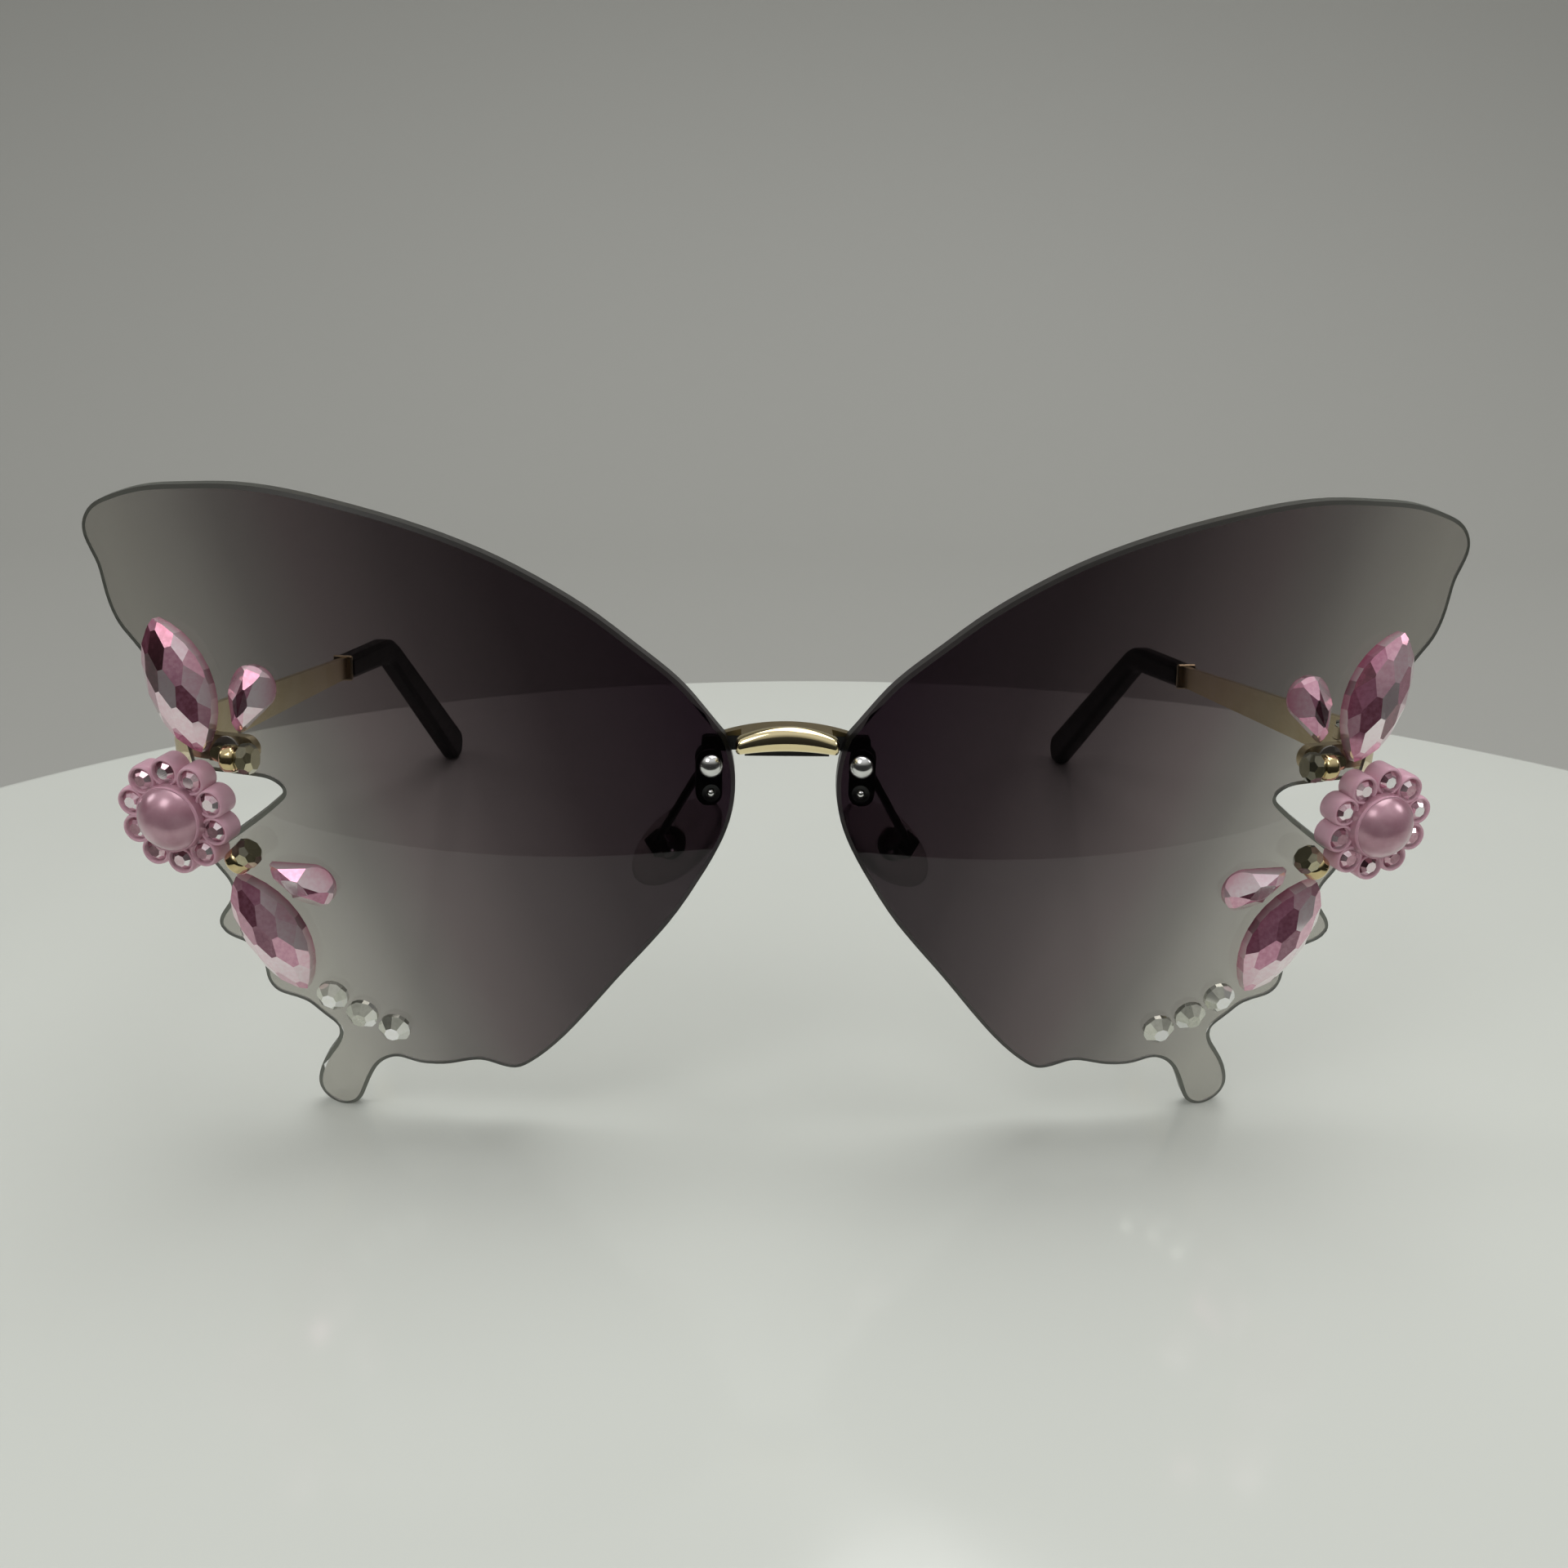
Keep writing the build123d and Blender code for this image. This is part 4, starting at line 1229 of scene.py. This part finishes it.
@dataclass
class Temples:
    """Brushed arms, bright collars and rounded black tips. Sizes are in millimetres."""

    nodes: dict[str, Object]
    edge_round: float = 0.28
    edge_steps: int = 3
    edge_angle: float = 30.0
    smooth_angle: float = 40.0

    def build(self) -> None:
        """Dresses both temples and rounds their tips."""
        for side in SIDES:
            Finishes.TEMPLE_GOLD.dress(self.nodes[f"{side}_temple_arm"])
            Finishes.COLLAR.dress(self.nodes[f"{side}_tip_collar"])
            node = f"{side}_temple_tip"
            tip = smooth_twin(self.nodes[node], f"{node}_rounded", self.smooth_angle)
            soften(tip, self.edge_round, self.edge_steps, self.edge_angle, self.smooth_angle)
            settle(tip, Finishes.BLACK_PLASTIC, f"{side}_temple", node)


@dataclass
class RoundStone:
    """Round cut stone: a table, two staggered rings of crown facets and a girdle.

    Sizes are in millimetres.
    """

    radius: float
    height: float
    sides: int
    girdle_share: float = 0.4
    table_share: float = 0.5
    star_reach: float = 0.93
    star_steepness: float = 1.5

    def stone(self) -> Object:
        """Cuts the stone from a drum.

        Returns:
            The stone, its base at the origin.
        """
        stone = drum("stone", 2 * self.sides, self.radius, self.height, (0, 0, self.height / 2))
        girdle = self.height * self.girdle_share
        slope = self.radius * (1 - self.table_share) / (self.height - girdle)
        steps = []
        for offset, reach, steepness in ((0.0, 1.0, 1.0), (0.5, self.star_reach, self.star_steepness)):
            for index in range(self.sides):
                angle = 2 * pi * (index + offset) / self.sides
                place = (self.radius * reach * cos(angle), self.radius * reach * sin(angle), girdle)
                steps.append(cut(place, (cos(angle), sin(angle), slope * steepness)))
        edit(stone, *steps)
        finish_mesh(stone)
        return stone


def set_stones(master: Object, seats: dict[str, list[Seat]], name: str, tones: PaintedFacetLight,
               finish: Finishes) -> None:
    """Sets copies of one stone on the seats of each node, and joins those of a node.

    Args:
        master: the stone on the bench, which is used up.
        seats: the seats of each node.
        name: what each node's stones are called, after the side.
        tones: the painted reflections on the facets.
        finish: what the stones are made of.
    """
    names = [f"{node}_stone" for node, places in seats.items() for _ in places]
    stones = iter(handed_out(master, names))
    for node, places in seats.items():
        made = []
        for index, seat in enumerate(places):
            stone = next(stones)
            tones.write(stone, seat, index)
            place_piece(stone, seat)
            made.append(stone)
        settle(joined(made, f"{node.split('_')[0]}_{name}"), finish, "front", node)


@dataclass
class Flowers:
    """The pink flowers: ten cups with stones round a half pearl. Sizes are in millimetres.

    Both sides are the same casting, because its cups repeat every tenth of a turn.
    """

    nodes: dict[str, Object]
    petal_radius: float = 1.83
    petal_height: float = 2.7
    shoulder_height: float = 2.15
    shoulder_round: float = 0.25
    rim_radius: float = 1.66
    lip_width: float = 0.24
    lip_round: float = 0.12
    round_steps: int = 5
    cup_depth: float = 0.9
    cup_taper: float = 0.9
    sink: float = 1.5
    body_radius: float = 4.7
    body_height: float = 2.4
    well_radius: float = 3.95
    well_floor: float = 2.1
    well_clearance: float = 1.0
    pearl_radius: float = 4.15
    pearl_height: float = 3.86
    pearl_lift: float = 0.03
    pearl_sides: int = 64
    sides: int = 32
    smooth_angle: float = 40.0
    fuse_gap: float = 1e-3
    pearl_smooth: float = 50.0
    stone: RoundStone = field(default_factory=lambda: RoundStone(1.36, 1.05, 8))
    # Painted reflections on the facets of the cup stones
    stone_tones: PaintedFacetLight = PaintedFacetLight(0.5, 0.1, 0.45, 0.85)

    def build(self) -> None:
        """Models a casting, a pearl and a stone, and sets copies of them on both sides."""
        cups = {side: glued_seats(self.nodes[f"{side}_flower_stones"]) for side in SIDES}
        seats = {side: self.seat(side, cups[side]) for side in SIDES}
        ring_radius = (seats["left"].matrix().inverted() @ cups["left"][0].centre).xy.length
        casting = self.casting(len(cups["left"]), ring_radius)
        castings = handed_out(casting, [f"{side}_flower_casting" for side in SIDES])
        pearls = handed_out(self.pearl(), [f"{side}_half_pearl" for side in SIDES])
        for side, casting, pearl in zip(SIDES, castings, pearls):
            place_piece(casting, seats[side])
            settle(casting, Finishes.PINK_ACRYLIC, "front", f"{side}_flower")
            place_piece(pearl, seats[side])
            settle(pearl, Finishes.PEARL, "front", f"{side}_pearl")
        stone_seats = {
            f"{side}_flower_stones": [self.turned(cup, seats[side]) for cup in cups[side]]
            for side in SIDES
        }
        set_stones(self.stone.stone(), stone_seats, "flower_brilliants", self.stone_tones,
                   Finishes.FOIL_STONE)

    def seat(self, side: str, cups: list[Seat]) -> Seat:
        """Finds the middle of a flower's base.

        Args:
            side: left or right.
            cups: the seats of the stones in its cups.

        Returns:
            The seat, with its long axis towards the first cup.
        """
        base = glued_seats(self.nodes[f"{side}_flower"])[0]
        middle = sum((cup.centre for cup in cups), Vector()) / len(cups)
        lift = (base.centre - middle).dot(base.up_axis)
        return Seat(middle + lift * base.up_axis, (cups[0].centre - middle).normalized(), base.up_axis)

    def turned(self, cup: Seat, flower: Seat) -> Seat:
        """Lowers the seat in a cup and turns it away from the flower's middle.

        Args:
            cup: the seat of the stone in the CAD's higher flower.
            flower: the seat of the flower.

        Returns:
            The seat of the stone in the dressed flower.
        """
        outward = cup.centre - flower.centre
        level = outward - outward.dot(cup.up_axis) * cup.up_axis
        return Seat(cup.centre - self.sink * MM * cup.up_axis, level.normalized(), cup.up_axis)

    def cup(self) -> Object:
        """Makes one round cup with a soft lip.

        Returns:
            The cup, its base at the origin.
        """
        cup = drum("cup", self.sides, self.petal_radius, self.shoulder_height,
                   (0, 0, self.shoulder_height / 2))
        pick_faces(cup, lambda face: face.normal.z > FACING)
        draw_in = self.rim_radius / self.petal_radius
        edit(
            cup,
            extrude((0, 0, self.petal_height - self.shoulder_height)),
            resize((draw_in, draw_in, 1)),
            partial(bpy.ops.mesh.inset, thickness=self.lip_width),
            extrude((0, 0, -self.cup_depth)),
            resize((self.cup_taper, self.cup_taper, 1)),
        )
        self.round_ring(cup, self.petal_height, self.lip_round)
        self.round_ring(cup, self.shoulder_height, self.shoulder_round)
        return cup

    def round_ring(self, cup: Object, level: float, width: float) -> None:
        """Rounds the rings of a cup's edges at one level.

        Args:
            cup: the cup.
            level: the height of the rings.
            width: how far in the rounding starts.
        """
        pick_edges(cup, lambda one, other: max(
            abs(one.z - level), abs(other.z - level), abs(one.xy.length - other.xy.length)) < LEVEL_GAP)
        edit(cup, bevel(width, self.round_steps))

    def casting(self, count: int, ring_radius: float) -> Object:
        """Fuses cups round a well, the first of them on the x axis.

        Args:
            count: how many cups there are.
            ring_radius: the distance of their middles from the flower's.

        Returns:
            The casting, its base at the origin.
        """
        cups = handed_out(self.cup(), [f"cup_{index}" for index in range(count)])
        for index, cup in enumerate(cups):
            turn = Matrix.Rotation(2 * pi * index / count, 4, "Z")
            cup.data.transform(turn @ Matrix.Translation((ring_radius, 0, 0)))
        flower = cups[0]
        body = drum("body", 2 * self.sides, self.body_radius, self.body_height,
                    (0, 0, self.body_height / 2))
        for other in cups[1:] + [body]:
            combine(flower, other, "UNION")
        deep = self.petal_height - self.well_floor + self.well_clearance
        well = drum("well", 2 * self.sides, self.well_radius, deep, (0, 0, self.well_floor + deep / 2))
        combine(flower, well, "DIFFERENCE")
        finish_mesh(flower, self.smooth_angle, self.fuse_gap)
        return flower

    def pearl(self) -> Object:
        """Makes half a pearl, flat on the floor of its well.

        Returns:
            The pearl, at its height over the origin.
        """
        deselect()
        bpy.ops.mesh.primitive_uv_sphere_add(
            segments=self.pearl_sides, ring_count=self.pearl_sides // 2, radius=self.pearl_radius)
        pearl = new_piece("pearl")
        edit(pearl, cut((0, 0, 0), (0, 0, -1)), select_all,
             resize((1, 1, self.pearl_height / self.pearl_radius)))
        pearl.data.transform(Matrix.Translation((0, 0, self.well_floor + self.pearl_lift)))
        finish_mesh(pearl, self.pearl_smooth)
        return pearl


class GemOutline(Enum):
    """The two outlines of the long gems."""

    MARQUISE = "marquise"
    TEARDROP = "teardrop"


@dataclass
class LongGem:
    """Boat or drop shaped gem with a domed crown of diamond facets. Sizes are in millimetres."""

    outline: GemOutline
    width: float
    height: float
    girdle_share: float = 0.38
    facet_length: float = 2.2
    facet_width: float = 1.45
    columns: int = 4
    rows: int = 3
    edge_cuts: int = 11
    edge_reach: float = 0.94

    def gem(self, length: float) -> Object:
        """Cuts one gem from a block.

        Args:
            length: the gem's length.

        Returns:
            The gem, its base at the origin.
        """
        deselect()
        bpy.ops.mesh.primitive_cube_add(size=1, location=(0, 0, self.height / 2),
                                        scale=(length, self.width, self.height))
        gem = new_piece("gem")
        bpy.ops.object.transform_apply(location=True, rotation=False, scale=True)
        edit(gem, *self.girdle_cuts(length), *self.crown_cuts(length))
        finish_mesh(gem)
        return gem

    def girdle_cuts(self, length: float) -> Iterator[Step]:
        """Upright cuts that touch the outline.

        Args:
            length: the gem's length.

        Yields:
            One cut after the other.
        """
        if self.outline is GemOutline.MARQUISE:
            radius = (length**2 + self.width**2) / (4 * self.width)
            half_turn = asin(length / 2 / radius)
            for side in (-1, 1):
                for index in range(self.edge_cuts):
                    angle = half_turn * (2 * index / (self.edge_cuts - 1) - 1) * self.edge_reach
                    normal = (sin(angle), side * cos(angle), 0)
                    shift = side * (self.width / 2 - radius)
                    yield cut((radius * normal[0], shift + radius * normal[1], 0), normal)
            return
        radius = self.width / 2
        middle = radius - length / 2
        reach = length / 2 - middle
        flank = atan2(sqrt(reach**2 - radius**2), radius)
        cuts = 2 * self.edge_cuts
        for index in range(cuts + 1):
            angle = flank + (2 * pi - 2 * flank) * index / cuts
            normal = (cos(angle), sin(angle), 0)
            yield cut((middle + radius * normal[0], radius * normal[1], 0), normal)

    def crown_cuts(self, length: float) -> Iterator[Step]:
        """Diamond facets that touch the dome of the crown.

        Args:
            length: the gem's length.

        Yields:
            One cut after the other.
        """
        drop = self.height * (1 - self.girdle_share)
        rows, columns = range(-self.rows, self.rows + 1), range(-self.columns, self.columns + 1)
        # Every other place of the grid, so that the facets are diamonds
        places = [(row, column) for row in rows for column in columns if (row + column) % 2 == 0]
        for row, column in places:
            u, v = column * self.facet_length, row * self.facet_width
            slope_u, slope_v = 8 * drop * u / length**2, 8 * drop * v / self.width**2
            crest = self.height - drop * (4 * u**2 / length**2 + 4 * v**2 / self.width**2)
            yield cut((u, v, crest), (slope_u, slope_v, 1))


@dataclass
class Bead:
    """Round mirror setting and a faceted glass, both along x. Sizes are in millimetres."""

    ring_radius: float = 1.6
    ring_length: float = 1.9
    ring_round: float = 0.6
    glass_radius: float = 1.8
    glass_length: float = 2.1
    glass_sides: int = 8
    belt_share: float = 0.34
    end_steepness: float = 1.1
    round_steps: int = 8
    sides: int = 40
    smooth_angle: float = 40.0

    def setting(self) -> Object:
        """Makes the mirror ring, its rims well rounded.

        Returns:
            The ring, along x at the origin.
        """
        ring = drum("setting", self.sides, self.ring_radius, self.ring_length, tilt=pi / 2)
        round_ends(ring, 0, self.ring_round, self.round_steps)
        finish_mesh(ring, self.smooth_angle)
        return ring

    def glass(self) -> Object:
        """Cuts the glass: a belt of facets and a staggered ring of them towards each end.

        Returns:
            The glass, along x at the origin.
        """
        glass = drum("glass", self.sides, self.glass_radius, self.glass_length, tilt=pi / 2)
        flat_radius = self.glass_radius * cos(pi / self.glass_sides)
        belt = self.glass_length / 2 * self.belt_share
        steps = []
        for index in range(self.glass_sides):
            angle = 2 * pi * index / self.glass_sides
            across, up = cos(angle), sin(angle)
            steps.append(cut((0, flat_radius * across, flat_radius * up), (0, across, up)))
            angle += pi / self.glass_sides
            across, up = cos(angle), sin(angle)
            for end in (-1, 1):
                place = (end * belt, self.glass_radius * across, self.glass_radius * up)
                steps.append(cut(place, (end, self.end_steepness * across, self.end_steepness * up)))
        edit(glass, *steps)
        finish_mesh(glass)
        return glass


@dataclass
class Gems:
    """The marquises, teardrops, beads and clear stones round the flowers."""

    nodes: dict[str, Object]
    marquise: LongGem = field(default_factory=lambda: LongGem(GemOutline.MARQUISE, 7.7, 3.2))
    teardrop: LongGem = field(default_factory=lambda: LongGem(
        GemOutline.TEARDROP, 5.3, 2.6, facet_length=1.7, facet_width=1.2))
    clear_stone: RoundStone = field(default_factory=lambda: RoundStone(1.95, 1.6, 8))
    bead: Bead = field(default_factory=Bead)
    # Painted reflections on the facets of each kind of gem
    upper_marquise_tones: PaintedFacetLight = PaintedFacetLight(0.46, 0.7, 0.2, 1.0)
    lower_marquise_tones: PaintedFacetLight = PaintedFacetLight(0.62, 0.5, 0.25, 0.6)
    teardrop_tones: PaintedFacetLight = PaintedFacetLight(0.25, 1.6, 0.1, 0.6)
    clear_tones: PaintedFacetLight = PaintedFacetLight(0.6, 0.0, 0.2, 0.8)
    glass_tones: PaintedFacetLight = PaintedFacetLight(0.5, 0.0, 0.3, 0.7)

    def build(self) -> None:
        """Cuts each gem once and sets copies of it on both sides."""
        for level, tones in (("upper", self.upper_marquise_tones), ("lower", self.lower_marquise_tones)):
            self.long_gems(level, "marquise", self.marquise, tones)
            self.long_gems(level, "teardrop", self.teardrop, self.teardrop_tones)
        names = [f"{side}_clear_stones" for side in SIDES]
        rows = {name: glued_seats(self.nodes[name]) for name in names}
        set_stones(self.clear_stone.stone(), rows, "clear_brilliants", self.clear_tones,
                   Finishes.CLEAR_GEM)
        self.beads()

    def long_gems(self, level: str, kind: str, cutter: LongGem, tones: PaintedFacetLight) -> None:
        """Sets a marquise or a teardrop on each side.

        Args:
            level: upper or lower.
            kind: marquise or teardrop.
            cutter: cuts such a gem.
            tones: the painted reflections on the facets.
        """
        nodes = [f"{side}_{level}_{kind}" for side in SIDES]
        seats = [glued_seats(self.nodes[node])[0] for node in nodes]
        gems = handed_out(cutter.gem(seats[0].length), [f"{node}_gem" for node in nodes])
        for index, (node, seat, gem) in enumerate(zip(nodes, seats, gems)):
            tones.write(gem, seat, index)
            place_piece(gem, seat)
            settle(gem, Finishes.PINK_GEM, "front", node)

    def beads(self) -> None:
        """The mirror settings with their dark glasses."""
        places = [f"{side}_{level}" for side in SIDES for level in ("upper", "lower")]
        rings = handed_out(self.bead.setting(), [f"{place}_bead_ring" for place in places])
        glasses = handed_out(self.bead.glass(), [f"{place}_bead_crystal" for place in places])
        for index, (place, ring, glass) in enumerate(zip(places, rings, glasses)):
            nodes = [f"{place}_bead_setting", f"{place}_bead_glass"]
            middles = [middle_of(self.nodes[node]) for node in nodes]
            axis = (middles[1] - middles[0]).normalized()
            front = Vector((0, -1, 0))
            up_axis = (front - front.dot(axis) * axis).normalized()
            ring_seat, glass_seat = [Seat(middle, axis, up_axis) for middle in middles]
            place_piece(ring, ring_seat)
            settle(ring, Finishes.BEAD_GOLD, "front", nodes[0])
            self.glass_tones.write(glass, glass_seat, index)
            place_piece(glass, glass_seat)
            settle(glass, Finishes.SMOKE_GLASS, "front", nodes[1])


@dataclass
class Studio:
    """Round pale table top in a plain room, soft lamps, and the photograph's camera.

    Sizes are in metres, turns in degrees.
    """

    table_colour: str = "#d0d3cc"
    table_gloss: float = 0.12
    room_colour: str = "#9a9a95"
    room_gloss: float = 0.7
    table_radius: float = 0.225
    table_sides: int = 256
    table_place: tuple[float, float] = (0.02, -0.095)
    table_thickness: float = 0.03
    table_edge: float = 0.006
    edge_steps: int = 6
    edge_smooth: float = 40.0
    room_half: float = 3.0
    wall_place: float = 0.7
    wall_height: float = 2.4
    wall_bend: float = 0.3
    bend_steps: int = 24
    card_colour: str = "#141413"
    card_size: tuple[float, float] = (1.2, 0.456)
    card_place: Triple = (0.0, -0.35, 0.111)
    card_tilt: float = -28.7
    lamps: tuple[tuple[str, Triple, float, float], ...] = (
        ("ceiling", (0.16, 0.18, 1.00), 0.80, 6.1),
        ("front", (-0.42, -0.62, 0.85), 0.40, 1.5),
        ("right", (0.75, -0.10, 0.55), 0.25, 0.8),
        ("left", (-0.80, 0.05, 0.50), 0.25, 0.7),
    )
    world_strength: float = 0.65
    sky_stops: Stops = (
        (0.0, "#2e2e2c"), (0.25, "#4c4c49"), (0.5, "#b4b4b0"), (0.75, "#ffffff"),
    )
    focal_mm: float = 36.208
    sensor_mm: float = 36.0
    pitch: float = 20.747
    yaw: float = -2.350
    roll: float = 1.267
    camera_place: Triple = (-0.007175, -0.237342, 0.110762)
    near_clip: float = 0.005

    def build(self) -> None:
        """Sets up the stage."""
        self.table()
        self.room()
        self.dark_card()
        self.light()
        self.world()
        self.camera()

    def table(self) -> None:
        """A glossy table top with a rounded edge."""
        table = drum("table_top", self.table_sides, self.table_radius, self.table_thickness,
                     (*self.table_place, -self.table_thickness / 2))
        pick_edges(table, lambda one, other: min(one.z, other.z) > -MM)
        edit(table, bevel(self.table_edge, self.edge_steps))
        bpy.ops.object.shade_smooth_by_angle(angle=radians(self.edge_smooth))
        self.stand(table, "glossy_pale_laminate", self.table_colour, self.table_gloss)

    def room(self) -> None:
        """A plain floor below the table that turns up into a wall behind it."""
        deselect()
        bpy.ops.mesh.primitive_plane_add(size=2 * self.room_half, location=(0, 0, -self.table_thickness))
        room = new_piece("room")
        bpy.ops.object.transform_apply(location=True, rotation=False, scale=False)
        nearer = partial(bpy.ops.transform.translate, value=(0, self.wall_place - self.room_half, 0))
        for step in (nearer, extrude((0, 0, self.wall_height))):
            pick_edges(room, lambda one, other: min(one.y, other.y) > 0)
            edit(room, step)
        pick_edges(room, lambda one, other: min(one.y, other.y) > 0 > max(one.z, other.z))
        edit(room, bevel(self.wall_bend, self.bend_steps))
        bpy.ops.object.shade_smooth()
        self.stand(room, "matt_grey_paper", self.room_colour, self.room_gloss)

    def dark_card(self) -> None:
        """A dark card before the glasses, for mirrors only: the dim side of the photographed room."""
        deselect()
        bpy.ops.mesh.primitive_plane_add(
            size=1, location=self.card_place, rotation=(radians(self.card_tilt), 0, 0),
            scale=(*self.card_size, 1))
        card = new_piece("dark_card")
        bpy.ops.object.transform_apply(location=True, rotation=True, scale=True)
        for ray in ("camera", "diffuse", "transmission", "shadow"):
            setattr(card, f"visible_{ray}", False)
        self.stand(card, "dark_felt", self.card_colour, 1.0)

    def stand(self, piece: Object, name: str, colour: str, roughness: float) -> None:
        """Gives a piece of the stage its plain material."""
        piece.data.materials.append(Finish(name, "stage", colour, roughness).material())

    def light(self) -> None:
        """A large soft lamp overhead, and smaller ones whose reflections sparkle in the facets."""
        for name, place, size, power in self.lamps:
            data = bpy.data.lights.new(name, "AREA")
            data.size = size
            data.energy = power
            lamp = bpy.data.objects.new(name, data)
            bpy.context.scene.collection.objects.link(lamp)
            lamp.location = place
            lamp.rotation_euler = (-Vector(place)).to_track_quat("-Z", "Y").to_euler()

    def world(self) -> None:
        """A room that is dark at eye level and pale overhead, seen directly as plain grey."""
        world = bpy.data.worlds.new("room")
        bpy.context.scene.world = world
        world.use_nodes = True
        tree = world.node_tree
        background = tree.nodes["Background"]
        place = add_node(tree, "TexCoord").outputs["Generated"]
        height = add_node(tree, "SeparateXYZ", {0: place}).outputs["Z"]
        sky = add_node(tree, "ValToRGB", {"Fac": height}, stops=self.sky_stops)
        path = add_node(tree, "LightPath").outputs
        seen = add_node(tree, "Math", {0: path["Is Camera Ray"], 1: path["Is Transmission Ray"]},
                        operation="MAXIMUM")
        colour = add_node(tree, "Mix", {"Factor": seen, 6: sky}, {7: linear(self.room_colour)},
                          data_type="RGBA")
        connect(background, {"Color": colour.outputs[2]})
        background.inputs["Strength"].default_value = self.world_strength

    def camera(self) -> None:
        """The photograph's viewpoint and framing."""
        data = bpy.data.cameras.new("camera")
        data.sensor_width = self.sensor_mm
        data.lens = self.focal_mm
        data.clip_start = self.near_clip
        camera = bpy.data.objects.new("camera", data)
        bpy.context.scene.collection.objects.link(camera)
        pitch, yaw, roll = radians(self.pitch), radians(self.yaw), radians(self.roll)
        ahead = Vector((-sin(yaw) * cos(pitch), cos(yaw) * cos(pitch), -sin(pitch)))
        level = Vector((cos(yaw), sin(yaw), 0))
        rise = level.cross(ahead)
        right = cos(roll) * level + sin(roll) * rise
        up = cos(roll) * rise - sin(roll) * level
        turn = Matrix((right, up, -ahead)).transposed().to_4x4()
        camera.matrix_world = Matrix.Translation(self.camera_place) @ turn
        bpy.context.scene.camera = camera


def main() -> None:
    """Loads the frame, dresses it and builds the stage."""
    logging.basicConfig(level=logging.INFO, format="%(name)s: %(message)s")
    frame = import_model()
    nodes = frame["nodes"]
    bpy.context.scene.view_settings.view_transform = "Standard"
    Lenses(nodes).build()
    Metalwork(nodes).build()
    FrontBar().build()
    NosePads(nodes).build()
    Temples(nodes).build()
    Flowers(nodes).build()
    Gems(nodes).build()
    Studio().build()


if __name__ == "__main__":
    main()
